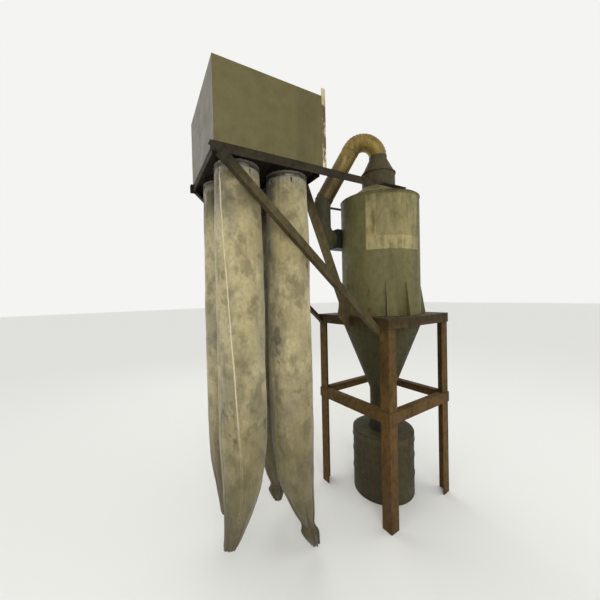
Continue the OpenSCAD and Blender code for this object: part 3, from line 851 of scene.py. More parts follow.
def lines_mesh(lines: Iterable[Sequence[Vector]], closed: bool = False) -> bpy.types.Mesh:
    """A mesh of edge lines.

    Args:
        lines: Each line's points.
        closed: Whether each line ends where it starts.

    Returns:
        The mesh.
    """
    points: list[Vector] = []
    edges: list[tuple[int, int]] = []
    for line in lines:
        start = len(points)
        points.extend(line)
        edges.extend((start + i, start + i + 1) for i in range(len(line) - 1))
        if closed:
            edges.append((len(points) - 1, start))
    mesh = bpy.data.meshes.new("lines")
    mesh.from_pydata(points, edges, [])
    return mesh


def points_mesh(spots: Iterable[tuple[Vector, Vector]]) -> bpy.types.Mesh:
    """A mesh of single points.

    Args:
        spots: Each point, with the direction that its fastener faces.

    Returns:
        The mesh.
    """
    pairs = list(spots)
    mesh = bpy.data.meshes.new("points")
    mesh.from_pydata([p for p, _ in pairs], [], [])
    aim = mesh.attributes.new("aim", "FLOAT_VECTOR", "POINT")
    aim.data.foreach_set("vector", [c for _, a in pairs for c in a])
    return mesh


def circle(radius: float, z: float, count: int = 72) -> list[Vector]:
    """Points of a level circle round the Z axis, from millimetres."""
    angles = [math.tau * k / count for k in range(count)]
    return [point(radius * math.cos(angle), radius * math.sin(angle), z) for angle in angles]


def crisp(mesh: bpy.types.Mesh, degrees: float = 40) -> None:
    """Turns a closed mesh's faces outwards and shades it smooth between sharp edges.

    Args:
        mesh: The mesh.
        degrees: Turn between faces that makes an edge sharp.
    """
    work = bmesh.new()
    work.from_mesh(mesh)
    bmesh.ops.recalc_face_normals(work, faces=work.faces)
    for edge in work.edges:
        if len(edge.link_faces) == 2:
            edge.smooth = edge.calc_face_angle(0.0) < math.radians(degrees)
    for face in work.faces:
        face.smooth = True
    work.to_mesh(mesh)
    work.free()


def new_piece(name: str, points: Sequence[Vector], faces: Sequence[Sequence[int]],
              material: bpy.types.Material) -> bpy.types.Object:
    """A linked mesh object with one finish.

    Args:
        name: Name of the piece.
        points: Its points.
        faces: Its faces.
        material: Its finish.

    Returns:
        The object.
    """
    mesh = bpy.data.meshes.new(name)
    mesh.from_pydata(points, [], faces)
    mesh.materials.append(material)
    piece = bpy.data.objects.new(name, mesh)
    bpy.context.scene.collection.objects.link(piece)
    return piece


def ring_piece(name: str, rings: Sequence[Sequence[Vector]],
               material: bpy.types.Material) -> bpy.types.Object:
    """A closed piece skinned over rings that follow each other back to the first.

    Args:
        name: Name of the piece.
        rings: Rings with as many points each.
        material: Its finish.

    Returns:
        The object.
    """
    count, total = len(rings[0]), len(rings)
    faces = [(i * count + k, i * count + (k + 1) % count,
              (i + 1) % total * count + (k + 1) % count, (i + 1) % total * count + k)
             for i in range(total) for k in range(count)]
    piece = new_piece(name, [p for ring in rings for p in ring], faces, material)
    crisp(piece.data)
    return piece


def keep(piece: bpy.types.Object, slot: str, *nodes: str) -> None:
    """Lets a piece ride on the part and stands for any nodes.

    Args:
        piece: The piece.
        slot: Not used.
        nodes: CAD nodes that it replaces.
    """
    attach(piece, BODY)
    if nodes:
        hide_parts(*nodes)
    LOG.info("piece %s: %d faces", piece.name, len(piece.data.polygons))


# Sub-assemblies


@dataclass
class Assembly:
    """What every sub-assembly works with."""

    frame: dict[str, Any]
    wardrobe: Wardrobe
    tools: Tools

    def dress(self, paint: Paints, *nodes: str) -> None:
        """Gives CAD nodes a finish.

        Args:
            paint: The finish.
            nodes: Names of the nodes.
        """
        for name in nodes:
            data = self.frame["nodes"][name].data
            data.materials.clear()
            data.materials.append(self.wardrobe.get(paint))
            LOG.info("node %s: %s", name, paint.name.lower())

    def weld(self, name: str, slot: str, paint: Paints, lines: Iterable[Sequence[Vector]],
             size: float = 3.0, seed: int = 1, closed: bool = False) -> None:
        """Weld beads along lines.

        Args:
            name: Name of the piece.
            slot: Material slot of the record.
            paint: Its finish.
            lines: Lines in metres.
            size: Radius of the bead in millimetres.
            seed: Seed of its unevenness.
            closed: Whether each line ends where it starts.
        """
        keep(self.tools.bead.run(name, lines_mesh(lines, closed), self.wardrobe.get(paint),
                                 Radius=mm(size), Spacing=mm(size), Seed=seed), slot)


@dataclass
class Stand(Assembly):
    """The square angle-iron stand with its lower rails and deck.

    A pair of insets says how far a weld stops short of the edge below it and above it.
    """

    side: float = 710
    leg_w: float = 75
    leg_t: float = 6
    ring_top: float = 1395
    rail_top: float = 787
    rail_drop: float = 75
    rail_insets: tuple[float, float] = (4, 8)
    bead: float = 3.2
    stitch: float = 80
    stitch_in: float = 30
    stitch_sunk: float = 0.5
    stitch_up: float = 1

    def build(self) -> None:
        """Dresses the stand and welds its joints."""
        corners = ("front_left", "front_right", "rear_left", "rear_right")
        sides = ("front", "rear", "left", "right")
        self.dress(Paints.STAND, *(f"leg_{c}" for c in corners),
                   *(f"ring_{s}" for s in sides), *(f"rail_{s}" for s in sides))
        self.dress(Paints.DECK, "deck_plate")
        half = self.side / 2
        inner = half - self.leg_t - self.leg_w
        below, above = self.rail_insets
        low, high = self.rail_top - self.rail_drop + below, self.rail_top - above
        ends = (self.stitch_in - half, half - self.stitch_in - self.stitch)
        lines = []
        for quarter in range(4):
            spin = Matrix.Rotation(quarter * math.pi / 2, 3, "Z")
            for x in (-inner, inner):
                lines.append([spin @ point(x, self.leg_t - half, z) for z in (low, high)])
            for x in ends:
                lines.append([spin @ point(x + run, self.stitch_sunk - half,
                                           self.ring_top + self.stitch_up)
                              for run in (0, self.stitch)])
        self.weld("stand_welds", "stand_angle", Paints.STAND, lines, size=self.bead, seed=4)


@dataclass
class CycloneBody(Assembly):
    """Barrel, roof, cone and lugs, with their bolts and welds.

    The sheets' seams stop short of the flanges, and the middle of a weld stands proud.
    """

    radius: float = 300
    bottom: float = 1330
    top: float = 2285
    cone_foot: float = 800
    spout_radius: float = 95
    flange_w: float = 18
    flange_t: float = 6
    bolts: int = 24
    bolt_r: float = 6.5
    bolt_h: float = 6
    washer_r: float = 8.5
    seam_deg: float = 40
    barrel_seam_in: float = 10
    cone_seam_in: float = 8
    bead: float = 2.4
    spout_bead: float = 2.6
    proud: float = 0.5
    lug_deg: tuple[float, float] = (-132, -104)
    lug_t: float = 10
    lug_h: float = 235
    lug_insets: tuple[float, float] = (4, 6)
    deck: float = 1400

    def build(self) -> None:
        """Dresses the body and adds its welds and bolts."""
        self.dress(Paints.BARREL, "barrel", "barrel_lugs")
        self.dress(Paints.ROOF, "roof")
        self.dress(Paints.CONE, "cone")
        self.sheet_welds()
        self.lug_welds()
        self.flange_bolts()

    def sheet_welds(self) -> None:
        """Butt welds up the barrel and the cone, and one round the spout."""
        turn = Matrix.Rotation(math.radians(self.seam_deg), 3, "Z")
        foot = self.spout_radius + self.proud
        self.weld("sheet_welds", "olive_paint", Paints.BARREL,
                  [[turn @ point(self.radius, 0, self.bottom + self.barrel_seam_in),
                    turn @ point(self.radius, 0, self.top)],
                   [turn @ point(self.radius, 0, self.bottom - self.cone_seam_in),
                    turn @ point(foot, 0, self.cone_foot)]], size=self.bead, seed=7)
        self.weld("spout_weld", "olive_paint", Paints.CONE, [circle(foot, self.cone_foot)],
                  size=self.spout_bead, seed=9, closed=True)

    def lug_welds(self) -> None:
        """Fillet welds down both faces of each lug."""
        below, above = self.lug_insets
        ends = (self.deck + below, self.deck + self.lug_h - above)
        lines = []
        for quarter in range(4):
            for degrees in self.lug_deg:
                turn = Matrix.Rotation(math.radians(degrees + 90 * quarter), 3, "Z")
                for side in (-1, 1):
                    y = side * (self.lug_t / 2 + self.proud)
                    lines.append([turn @ point(self.radius + self.proud, y, z) for z in ends])
        self.weld("lug_welds", "olive_paint", Paints.BARREL, lines, size=self.bead, seed=8)

    def flange_bolts(self) -> None:
        """Bolts through the flanges between barrel and cone, heads up and nuts down."""
        spots = []
        for k in range(self.bolts):
            turn = Matrix.Rotation(math.tau * (k + 0.5) / self.bolts, 3, "Z")
            for side in (-1, 1):
                place = point(self.radius + self.flange_w / 2, 0,
                              self.bottom + side * self.flange_t)
                spots.append((turn @ place, Vector((0, 0, side))))
        keep(self.tools.hex.run("flange_bolts", points_mesh(spots),
                                self.wardrobe.get(Paints.SCREW), Radius=mm(self.bolt_r),
                                Height=mm(self.bolt_h), Washer=mm(self.washer_r), Seed=3),
             "band_steel")


@dataclass
class ReturnDuct(Assembly):
    """Collar and hood, the ribbed hose, the lower duct and the inlet box.

    A rivet's out is how far its middle lies outside the duct's skin.
    """

    bend_base: float = 2645
    duct_r: float = 65
    wall: float = 2
    top_bend: float = 115
    top_turn: float = 150
    hose_pitch: float = 18
    rib: float = 2.4
    low_bend: float = 100
    out: float = 390
    back: float = 235
    inlet_z: float = 2005
    flange_w: float = 10
    flange_t: float = 6
    band: float = 30
    band_gap: float = 4
    ease_segments: int = 2
    elbow_segments: int = 4
    neck_rivets: int = 10
    neck_drop: float = 11
    neck_out: float = 4
    band_rivets: int = 8
    band_in: float = 18
    band_out: float = 3
    rivet_r: float = 3.2
    rivet_h: float = 2
    washer_r: float = 3.6
    sides: int = 64

    def __post_init__(self) -> None:
        """Works out the duct's route from its sizes, as the CAD does."""
        self.plan = Matrix.Rotation(math.atan2(self.back, -self.out), 4, "Z")
        reach = math.hypot(self.out, self.back)
        turn = math.radians(self.top_turn)
        self.lean = math.pi - turn
        self.end = (self.top_bend * (1 - math.cos(turn)), self.top_bend * math.sin(turn))
        ease = self.low_bend * (1 - math.cos(self.lean))
        self.slope = (reach - self.end[0] - ease) / math.sin(self.lean)
        slope_foot = self.bend_base + self.end[1] - self.slope * math.cos(self.lean)
        self.upright_top = slope_foot - self.low_bend * math.sin(self.lean)
        self.reach = reach

    def build(self) -> None:
        """Dresses the nodes and makes the hose and the lower duct."""
        self.dress(Paints.HOOD, "outlet_collar", "outlet_hood")
        self.dress(Paints.HOSE, "sloping_duct", "duct_bands")
        self.dress(Paints.INLET, "inlet_box")
        turn = math.radians(self.top_turn)
        segments = round(turn * self.top_bend / self.hose_pitch)
        start = self.plan @ Matrix.Translation(point(0, 0, self.bend_base))
        rings = self.bend("hose_bend", Paints.HOSE, self.top_bend, turn, segments, start,
                          "top_bend")
        self.ribs("hose_bend_ribs", Paints.RIBS, rings)
        self.hose_helix()
        self.lower_run()
        self.rivets()

    def bend(self, name: str, paint: Paints, radius: float, turn: float, segments: int,
             matrix: Matrix, *nodes: str) -> list[list[Vector]]:
        """Makes one segmented bend and moves it into place.

        Args:
            name: Name of the piece.
            paint: Its finish.
            radius: Radius of its centreline in millimetres.
            turn: Its turn in radians.
            segments: Number of whole segments.
            matrix: Its place, mirrored where it turns the other way.
            nodes: CAD nodes that it replaces.

        Returns:
            The ring of each mitre, for its rib.
        """
        piece = self.tools.bend.run(name, points_mesh([(Vector(), Vector((0, 0, 1)))]),
                                    self.wardrobe.get(paint), Bend=mm(radius),
                                    Tube=mm(self.duct_r), Wall=mm(self.wall), Turn=turn,
                                    Segments=segments, Sides=self.sides)
        piece.data.transform(matrix)
        crisp(piece.data)
        keep(piece, "duct_steel", *nodes)
        step, rings = turn / segments, []
        for k in range(segments):
            at = (k + 0.5) * step
            ring = []
            for i in range(self.sides):
                angle = math.tau * i / self.sides
                reach = (radius + self.duct_r * math.cos(angle)) / math.cos(step / 2)
                ring.append(matrix @ point(radius - reach * math.cos(at),
                                           self.duct_r * math.sin(angle),
                                           reach * math.sin(at)))
            rings.append(ring)
        return rings

    def ribs(self, name: str, paint: Paints, lines: Iterable[Sequence[Vector]],
             closed: bool = True) -> None:
        """Raised ribs along lines on a duct.

        Args:
            name: Name of the piece.
            paint: Its finish.
            lines: Lines in metres.
            closed: Whether each line ends where it starts.
        """
        keep(self.tools.wire.run(name, lines_mesh(lines, closed), self.wardrobe.get(paint),
                                 Radius=mm(self.rib), Sides=6), "duct_steel")

    def slope_frame(self) -> Matrix:
        """Finds the sloping duct's frame.

        Returns:
            The frame at its head, with Z along the duct and Y level across it.
        """
        lean = Matrix.Rotation(math.radians(self.top_turn), 4, "Y")
        head = Matrix.Translation(point(self.end[0], 0, self.bend_base + self.end[1]))
        return self.plan @ head @ lean

    def hose_helix(self) -> None:
        """The hose's rib winds along its sloping run as a helix."""
        frame, count = self.slope_frame(), 40
        start = self.band + self.band_gap
        turns = int((self.slope - 2 * start) / self.hose_pitch)
        line = []
        for k in range(turns * count + 1):
            angle = math.tau * k / count
            line.append(frame @ point(self.duct_r * math.cos(angle),
                                      self.duct_r * math.sin(angle),
                                      start + self.hose_pitch * k / count))
        self.ribs("hose_helix", Paints.RIBS, [line], False)

    def lower_run(self) -> None:
        """Easing bend, upright duct, elbow and the elbow's flange on the inlet box."""
        ease = self.plan @ Matrix.Translation(point(self.reach, 0, self.upright_top))
        rings = self.bend("easing_bend", Paints.LOWER_DUCT, self.low_bend, self.lean,
                          self.ease_segments, ease @ Matrix.Diagonal((-1, 1, 1, 1)))
        foot = self.inlet_z + self.low_bend
        rings += self.bend("inlet_elbow", Paints.LOWER_DUCT, self.low_bend, math.pi / 2,
                           self.elbow_segments,
                           Matrix.Translation(point(-self.out, self.back, foot))
                           @ Matrix.Diagonal((1, 1, -1, 1)))
        self.ribs("lower_duct_seams", Paints.LOWER_DUCT, rings)
        stand = Matrix.Translation(point(-self.out, self.back, 0))
        inner = self.duct_r - self.wall
        sizes = ((self.duct_r, foot), (self.duct_r, self.upright_top),
                 (inner, self.upright_top), (inner, foot))
        tube = ring_piece("upright_duct", [circle(r, z, self.sides) for r, z in sizes],
                          self.wardrobe.get(Paints.LOWER_DUCT))
        tube.data.transform(stand)
        keep(tube, "duct_steel", "lower_duct")
        end = self.low_bend - self.out
        outer = self.duct_r + self.flange_w
        sizes = ((self.duct_r, end - self.flange_t), (outer, end - self.flange_t),
                 (outer, end), (self.duct_r, end))
        flange = ring_piece("elbow_flange", [circle(r, x, self.sides) for r, x in sizes],
                            self.wardrobe.get(Paints.INLET))
        flange.data.transform(Matrix.Translation(point(0, self.back, self.inlet_z))
                              @ Matrix.Rotation(math.pi / 2, 4, "Y"))
        crisp(flange.data)
        keep(flange, "duct_steel")

    def rivets(self) -> None:
        """Pop rivets round the hood's neck and in the hose's two bands."""
        spots = []
        outwards = Vector((1, 0, 0))
        for k in range(self.neck_rivets):
            turn = Matrix.Rotation(math.tau * k / self.neck_rivets, 3, "Z")
            spots.append((turn @ point(self.duct_r + self.neck_out, 0,
                                       self.bend_base - self.neck_drop),
                          turn @ outwards))
        frame = self.slope_frame()
        for at in (self.band_in, self.slope - self.band_in):
            for k in range(self.band_rivets):
                turn = Matrix.Rotation(math.tau * (k + 0.5) / self.band_rivets, 3, "Z")
                spots.append((frame @ (turn @ point(self.duct_r + self.band_out, 0, 0)
                                       + point(0, 0, at)),
                              frame.to_3x3() @ (turn @ outwards)))
        keep(self.tools.rivet.run("duct_rivets", points_mesh(spots),
                                  self.wardrobe.get(Paints.SCREW), Radius=mm(self.rivet_r),
                                  Height=mm(self.rivet_h), Washer=mm(self.washer_r), Seed=5),
             "band_steel")


@dataclass
class DustDrum(Assembly):
    """Sleeve, lid and drum."""

    def build(self) -> None:
        """Dresses the drum, its lid and the sleeve."""
        self.dress(Paints.DRUM, "drum")
        self.dress(Paints.LID, "drum_lid")
        self.dress(Paints.SLEEVE, "dust_sleeve")


@dataclass
class BagUnit(Assembly):
    """Arms, braces, strut, plenum, tube sheet, collars and clamp bands."""

    turn_deg: float = -5
    out: float = 745
    length: float = 615
    width: float = 620
    base: float = 2293
    height: float = 405
    pitch: float = 300
    rivets_along: int = 7
    rivets_up: int = 4
    rivet_low: float = 16
    rivet_high: float = 14
    corner_in: float = 22
    side_in: float = 10
    rivet_r: float = 3.4
    rivet_h: float = 2
    washer_r: float = 3.8
    band_r: float = 121.1
    band_z: float = 2236
    housing: tuple[float, float, float] = (9, 22, 13)
    housing_out: float = 4
    screw_deg: float = 70
    screw_r: float = 4
    screw_long: float = 34

    def __post_init__(self) -> None:
        """Keeps the unit's turned frame."""
        self.spin = Matrix.Rotation(math.radians(self.turn_deg), 4, "Z")

    def build(self) -> None:
        """Dresses the unit and adds its rivets and clamp screws."""
        self.dress(Paints.ARMS, "arm_front", "arm_rear", "cross_members", "brace_front",
                   "brace_rear", "middle_strut")
        self.dress(Paints.PLENUM, "plenum_front", "plenum_rear", "plenum_top")
        self.dress(Paints.PLENUM_END, "plenum_left_end", "plenum_right_end")
        self.dress(Paints.SHEET, "tube_sheet", "bag_collars")
        self.dress(Paints.STRIP, "end_strip")
        self.dress(Paints.BAND, "bag_bands")
        self.rivets()
        self.clamp_screws()

    def rivets(self) -> None:
        """Rivets along the plenum panels' edges."""
        left, right = -self.out - self.length, -self.out
        low, high = self.base + self.rivet_low, self.base + self.height - self.rivet_high
        run, rise = self.length - 2 * self.corner_in, high - low
        places = [(left + self.corner_in + run * k / (self.rivets_along - 1), z)
                  for k in range(self.rivets_along) for z in (low, high)]
        places += [(x, low + rise * (k + 1) / (self.rivets_up + 1))
                   for k in range(self.rivets_up)
                   for x in (left + self.side_in, right - self.side_in)]
        spots = [(self.spin @ point(x, side * self.width / 2, z),
                  self.spin.to_3x3() @ Vector((0, side, 0)))
                 for x, z in places for side in (-1, 1)]
        keep(self.tools.rivet.run("plenum_rivets", points_mesh(spots),
                                  self.wardrobe.get(Paints.PLENUM), Radius=mm(self.rivet_r),
                                  Height=mm(self.rivet_h), Washer=mm(self.washer_r), Seed=6),
             "plenum_paint")

    def clamp_screws(self) -> None:
        """The screw housing of each bag's clamp band, with its hexagonal screw."""
        shape = bmesh.new()
        for sx in (-1, 1):
            for sy in (-1, 1):
                centre = point(-self.out - self.length / 2 + sx * self.pitch / 2,
                               sy * self.pitch / 2, self.band_z)
                place = (self.spin @ Matrix.Translation(centre)
                         @ Matrix.Rotation(math.radians(sy * self.screw_deg), 4, "Z")
                         @ Matrix.Translation(point(self.band_r + self.housing_out, 0, 0)))
                block = Matrix.Diagonal((*point(*self.housing), 1))
                bmesh.ops.create_cube(shape, size=1.0, matrix=place @ block)
                screw = place @ Matrix.Rotation(math.pi / 2, 4, "X")
                bmesh.ops.create_cone(shape, cap_ends=True, segments=6,
                                      radius1=mm(self.screw_r), radius2=mm(self.screw_r),
                                      depth=mm(self.screw_long), matrix=screw)
        mesh = bpy.data.meshes.new("clamp_screws")
        shape.to_mesh(mesh)
        shape.free()
        mesh.materials.append(self.wardrobe.get(Paints.BAND))
        crisp(mesh, 30)
        piece = bpy.data.objects.new("clamp_screws", mesh)
        bpy.context.scene.collection.objects.link(piece)
        keep(piece, "band_steel")


class Tail(Enum):
    """Forms of a bag's foot: share of the drop, share of the width, share of the drift."""

    SWEPT = ((0.13, 1.00, 0), (0.40, 1.03, 0), (0.70, 1.02, 0.02), (0.79, 0.93, 0.11),
             (0.853, 0.80, 0.27), (0.895, 0.67, 0.43), (0.938, 0.52, 0.63),
             (0.982, 0.37, 0.86), (1.0, 0.30, 1.0))
    TIED = ((0.13, 1.00, 0), (0.40, 1.03, 0), (0.70, 1.00, 0.02), (0.807, 0.87, 0.13),
            (0.866, 0.67, 0.33), (0.909, 0.49, 0.51), (0.946, 0.31, 0.69),
            (0.964, 0.42, 0.76), (1.0, 0.20, 1.0))


@dataclass
class FilterBag:
    """One hanging bag: a cloth tube gathered on its collar and drawn to a tail.

    Below the clamp band the gathers grow over gather_grow and die away over gather_fade, and
    from slack_full down the cloth hangs fully slack. The lengths from gather on say how far
    the cloth's folds and seam stand out.
    """

    name: str
    unit: BagUnit
    side_x: int
    side_y: int
    tail_z: float
    drift: tuple[float, float]
    tail: Tail
    seed: int
    seam_deg: float
    seam_twist: float = 0.0
    neck: float = 117.6
    body: float = 126
    top: float = 2257
    band_low: float = 2227
    band_high: float = 2245
    sides: int = 144
    cloth: float = 1.2
    hem: float = 20
    gather_grow: float = 14
    gather_fade: float = 75
    slack_full: float = 500
    gather: float = 3.0
    cuff: float = 2.2
    lump: float = 6.5
    dimple: float = 1.8
    crease: float = 40
    swept_fold: float = 4.0
    tied_fold: float = 9.0
    folds_from: float = 0.7
    tie: float = 0.946
    lap: float = 1.8
    lap_w: float = 5
    stitch_off: float = 4.4

    def __post_init__(self) -> None:
        """Works out the flat cloth's girth and drop in metres, and the folds' phase."""
        self.girth = math.tau * mm(self.body)
        self.drop = mm(self.top - self.tail_z)
        self.phase = self.seed * 1.7

    def profile(self, share: float) -> tuple[float, float]:
        """The bag's mean width and drift.

        Args:
            share: Share of the drop, from 0 at the top edge to 1 at the tail.

        Returns:
            Radius in millimetres and share of the drift.
        """
        # Above its foot every bag starts at the collar's width.
        form = ((0.0, 0.95, 0), (0.04, 0.955, 0), *self.tail.value)
        for i in range(len(form) - 1):
            if share <= form[i + 1][0]:
                break
        (a, *start), (b, *end) = form[i], form[i + 1]
        before, after = form[max(i - 1, 0)], form[min(i + 2, len(form) - 1)]
        t = (share - a) / (b - a)
        # A cubic curve through the form's points.
        values = []
        for k in range(2):
            slope_a = (end[k] - before[k + 1]) / (b - before[0]) * (b - a)
            slope_b = (after[k + 1] - start[k]) / (after[0] - a) * (b - a)
            values.append((2 * t ** 3 - 3 * t ** 2 + 1) * start[k]
                          + (t ** 3 - 2 * t ** 2 + t) * slope_a
                          + (3 * t ** 2 - 2 * t ** 3) * end[k] + (t ** 3 - t ** 2) * slope_b)
        return self.body * values[0], values[1]

    def seam_at(self, share: float) -> float:
        """The seam's angle at a share of the drop, in radians."""
        return math.radians(self.seam_deg + self.seam_twist * share)

    def slack(self, share: float, z: float, angle: float) -> float:
        """How far the cloth's folds stand out from its mean width.

        Args:
            share: Share of the drop.
            z: Height in millimetres.
            angle: Round the bag, in radians.

        Returns:
            Millimetres.
        """
        x, y = math.cos(angle), math.sin(angle)
        below = self.band_low - z
        # Fine gathers fade out within a hand's width below the clamp band.
        near = math.exp(-below / self.gather_fade) * min(1, below / self.gather_grow)
        ripple = math.sin(17 * angle + self.phase) + 0.7 * math.sin(29 * angle + 2.1 * self.phase)
        out = self.gather * near * ripple
        # Broad lumps and long creases where the cloth hangs slack.
        wide = noise.noise(Vector((2 * x + self.seed, 2 * y, z * 0.003)))
        small = noise.noise(Vector((4.5 * x, 4.5 * y + self.seed, z * 0.011)))
        line = abs(noise.noise(Vector((3.2 * x - self.seed, 3.2 * y, z * 0.0018))))
        grow = 0.3 + 0.7 * min(1, below / self.slack_full)
        out += grow * (self.lump * wide + self.dimple * small - self.crease * max(0, 0.1 - line))
        if share > self.folds_from:
            out += self.folds(share, angle)
        return out

    def folds(self, share: float, angle: float) -> float:
        """How far the folds stand out where the foot is drawn in.

        Args:
            share: Share of the drop.
            angle: Round the bag, in radians.

        Returns:
            Millimetres.
        """
        drawn = max(0.0, 1 - self.profile(share)[0] / self.body)
        wave = math.sin(7 * angle + self.phase + 2 * share)
        wave += 0.5 * math.sin(13 * angle - self.phase)
        sharp = wave - 0.5 * abs(wave)
        if self.tail is Tail.SWEPT:
            depth = self.swept_fold
        else:
            # The twine binds the folds flat.
            depth = self.tied_fold * (1 - math.exp(-((share - self.tie) / 0.012) ** 2))
        return sharp * depth * drawn * min(1, (share - self.folds_from) / 0.1)

    def surface(self, share: float, angle: float) -> Vector:
        """A point of the cloth, in metres.

        Args:
            share: Share of the drop, from 0 to 1.
            angle: Round the bag, in radians.

        Returns:
            The point in the part's frame.
        """
        z = self.top - (self.top - self.tail_z) * share
        radius, drift = self.profile(share)
        if z > self.band_low:
            radius = self.neck
            if z > self.band_high:
                flare = min(1, (z - self.band_high) / 10)
                radius += flare * (self.cuff + 1.2 * math.sin(21 * angle + self.seed))
        else:
            blend = min(1, (self.band_low - z) / 40)
            radius = self.neck + (radius - self.neck) * blend + self.slack(share, z, angle)
            away = math.remainder(angle - self.seam_at(share), math.tau) * radius
            lap = self.lap * math.exp(-(away / self.lap_w) ** 2)
            radius += lap * min(1, (self.band_low - z) / 10)
        unit = self.unit
        centre = point(-unit.out - unit.length / 2 + self.side_x * unit.pitch / 2
                       + drift * self.drift[0],
                       self.side_y * unit.pitch / 2 + drift * self.drift[1], z)
        return unit.spin @ (centre + point(radius * math.cos(angle),
                                           radius * math.sin(angle), 0))

    def build(self) -> None:
        """Makes the cloth, its seam's stitches and the twine of a tied tail."""
        # Rows lie close at the gathers and the foot, and wider between.
        shares = [i * 0.0025 for i in range(24)] + [0.06 + i * 0.0105 for i in range(66)]
        shares += [0.753 + i * 0.00475 for i in range(52)] + [1.0]
        piece = self.skin(shares)
        self.map_cut(piece.data, shares)
        piece.data.shade_smooth()
        cloth = piece.modifiers.new("cloth", "SOLIDIFY")
        cloth.thickness = mm(self.cloth)
        cloth.offset = -1
        keep(piece, "bag_cloth", self.name)
        self.drop + mm(self.hem)
        self.stitches()
        if self.tail is Tail.TIED:
            self.twine()

    def skin(self, shares: Sequence[float]) -> bpy.types.Object:
        """Skins the cloth over rings and closes its foot with smaller ones and a pole.

        Args:
            shares: Share of the drop at each ring, from the top edge down.

        Returns:
            The cloth as one layer.
        """
        count = self.sides
        rings = [[self.surface(s, math.tau * k / count) for k in range(count)] for s in shares]
        last = rings[-1]
        middle = sum(last, Vector()) / count
        for shrink, sink in ((0.85, 3), (0.6, 5), (0.3, 6)):
            rings.append([middle + (p - middle) * shrink - point(0, 0, sink) for p in last])
        points = [p for ring in rings for p in ring]
        pole = len(points)
        points.append(middle - point(0, 0, 6.4))
        faces = [(i * count + k, (i + 1) * count + k, (i + 1) * count + (k + 1) % count,
                  i * count + (k + 1) % count)
                 for i in range(len(rings) - 1) for k in range(count)]
        foot = (len(rings) - 1) * count
        faces += [(foot + k, pole, foot + (k + 1) % count) for k in range(count)]
        return new_piece(f"{self.name}_cloth", points, faces,
                         self.unit.wardrobe.get(Paints.CLOTH))

    def map_cut(self, mesh: bpy.types.Mesh, shares: Sequence[float]) -> None:
        """Gives the cloth the UV map of its flat cut in metres, with the lap seam at U = 0.

        Args:
            mesh: The cloth's mesh.
            shares: Share of the drop at each ring.
        """
        layer = mesh.uv_layers.new(name="cut")
        for face in mesh.polygons:
            places = []
            for i in face.loop_indices:
                row, column = divmod(mesh.loops[i].vertex_index, self.sides)
                share = shares[min(row, len(shares) - 1)]
                turn = (column / self.sides - self.seam_at(share) / math.tau) % 1
                places.append([turn, share])
            # A face across the seam keeps to the far end of U.
            wraps = max(p[0] for p in places) - min(p[0] for p in places) > 0.5
            for i, (turn, share) in zip(face.loop_indices, places):
                layer.data[i].uv = ((turn + (wraps and turn < 0.5)) * self.girth,
                                    share * self.drop)

    def stitches(self) -> None:
        """Stitches down both sides of the cloth's lap seam."""
        lines = []
        for side in (-1, 1):
            line = []
            for i in range(160):
                share = 0.03 + 0.88 * i / 159
                angle = self.seam_at(share) + side * self.stitch_off / self.profile(share)[0]
                line.append(self.surface(share, angle))
            lines.append(line)
        keep(self.unit.tools.bead.run(f"{self.name}_stitches", lines_mesh(lines),
                                      self.unit.wardrobe.get(Paints.THREAD), Radius=mm(0.9),
                                      Spacing=mm(9), Long=3.0, Uneven=0.1, Seed=self.seed),
             "bag_cloth")

    def twine(self) -> None:
        """Turns of twine drawn tight round the tail."""
        count, turns, pitch = 36, 4, 3.4
        drop = self.top - self.tail_z
        line = []
        for k in range(turns * count + 1):
            share = self.tie + (k / count - turns / 2) * pitch / drop
            angle = math.tau * k / count
            centre = sum((self.surface(share, a * math.pi / 2) for a in range(4)), Vector()) / 4
            edge = self.surface(share, angle)
            line.append(edge + (edge - centre).normalized() * mm(1))
        keep(self.unit.tools.wire.run(f"{self.name}_twine", lines_mesh([line]),
                                      self.unit.wardrobe.get(Paints.TWINE), Radius=mm(1.6),
                                      Sides=6), "bag_cloth")


# Stage


@dataclass(frozen=True)
class Lamp:
    """A square area lamp: place, aim and side in metres, power in watts."""

    name: str
    place: tuple[float, float, float]
    aim: tuple[float, float, float]
    side: float
    power: float

    def build(self) -> None:
        """Adds the lamp to the scene."""
        data = bpy.data.lights.new(self.name, "AREA")
        data.size = self.side
        data.energy = self.power
        lamp = bpy.data.objects.new(self.name, data)
        lamp.location = self.place
        ahead = Vector(self.aim) - Vector(self.place)
        lamp.rotation_euler = ahead.to_track_quat("-Z", "Y").to_euler()
        bpy.context.scene.collection.objects.link(lamp)


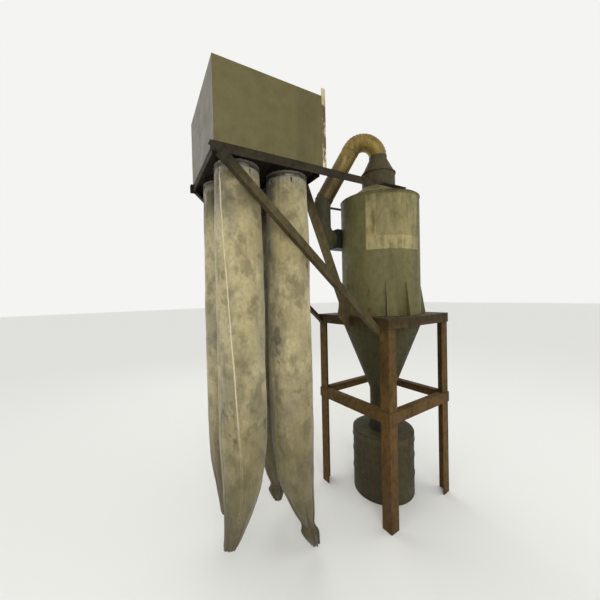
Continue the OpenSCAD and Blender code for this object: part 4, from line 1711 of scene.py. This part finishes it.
@dataclass
class Studio:
    """Plain pale floor, soft light and the camera at the photograph's view."""

    eye: tuple[float, float, float] = (-1.808, -1.499, 1.56)
    yaw: float = 0.599
    pitch: float = -0.017
    roll: float = -0.023
    lens: float = 16.8
    floor_reach: float = 40
    lamps: tuple[Lamp, ...] = (
        Lamp("key", (-2.6, -3.4, 3.6), (-0.4, 0, 1.4), 2.0, 56),
        Lamp("fill", (2.8, -3.4, 2.4), (0, 0, 1.3), 2.6, 14),
        Lamp("back", (0.5, 3.6, 3.8), (-0.4, 0, 1.6), 2.4, 24),
    )

    def build(self) -> None:
        """Sets the view, the world, the floor, the lamps and the camera."""
        bpy.context.scene.view_settings.view_transform = "Standard"
        self.world()
        self.floor()
        for lamp in self.lamps:
            lamp.build()
        self.camera()

    def world(self) -> None:
        """A pale world: white to the camera and in gloss, soft fill for the rest."""
        world = bpy.data.worlds.new("studio")
        world.use_nodes = True
        tree = world.node_tree
        tree.nodes.clear()
        rays = add_node(tree, "ShaderNodeLightPath").outputs
        seen = add_node(tree, "ShaderNodeMath", {0: rays["Is Camera Ray"],
                                                 1: rays["Is Glossy Ray"]}, operation="MAXIMUM")
        both = add_node(tree, "ShaderNodeMath", {0: seen.outputs[0],
                                                 1: rays["Is Transmission Ray"]},
                        operation="MAXIMUM")
        power = add_node(tree, "ShaderNodeMapRange", {0: both.outputs[0], 3: 0.92, 4: 1.0})
        light = add_node(tree, "ShaderNodeBackground", {0: linear("#f4f4f2"),
                                                        1: power.outputs[0]})
        add_node(tree, "ShaderNodeOutputWorld", {0: light.outputs[0]})
        bpy.context.scene.world = world

    def floor(self) -> None:
        """A wide floor of pale matt paint."""
        coat = Coat("pale_floor", "#f1f1ee")
        corners = [Vector((x, y, 0)) * self.floor_reach
                   for x, y in ((-1, -1), (1, -1), (1, 1), (-1, 1))]
        finish = coat.done(coat.blotches(2000, 0.5, soft=0.3), 0.88, 0.92)
        new_piece("floor", corners, [(0, 1, 2, 3)], finish)

    def camera(self) -> None:
        """The camera at the photograph's place, aim and angle of view."""
        data = bpy.data.cameras.new("photo_camera")
        data.lens = self.lens
        data.sensor_width = 36
        data.clip_start = 0.05
        ahead = Vector((math.sin(self.yaw) * math.cos(self.pitch),
                        math.cos(self.yaw) * math.cos(self.pitch), math.sin(self.pitch)))
        level = Vector((math.cos(self.yaw), -math.sin(self.yaw), 0))
        upright = level.cross(ahead)
        right = level * math.cos(self.roll) + upright * math.sin(self.roll)
        up = upright * math.cos(self.roll) - level * math.sin(self.roll)
        camera = bpy.data.objects.new("photo_camera", data)
        camera.matrix_world = (Matrix.Translation(self.eye)
                               @ Matrix((right, up, -ahead)).transposed().to_4x4())
        bpy.context.scene.collection.objects.link(camera)
        bpy.context.scene.camera = camera


def main() -> None:
    """Builds the dressed part on its frame."""
    logging.basicConfig(level=logging.INFO, format="%(message)s")
    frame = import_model()
    Studio().build()
    kit = (frame, Wardrobe(), Tools())
    unit = BagUnit(*kit)
    for assembly in (Stand(*kit), CycloneBody(*kit), ReturnDuct(*kit), DustDrum(*kit), unit):
        assembly.build()
        LOG.info("built %s", type(assembly).__name__)
    bags = (
        FilterBag("bag_front_left", unit, -1, -1, 170, (-78, 43), Tail.SWEPT, 1, -155, 56),
        FilterBag("bag_front_right", unit, 1, -1, 50, (104, -66), Tail.TIED, 2, 60),
        FilterBag("bag_rear_left", unit, -1, 1, 150, (-24, 40), Tail.SWEPT, 3, 130),
        FilterBag("bag_rear_right", unit, 1, 1, 110, (36, 16), Tail.TIED, 4, 40),
    )
    for bag in bags:
        bag.build()
        LOG.info("built %s", bag.name)


if __name__ == "__main__":
    main()
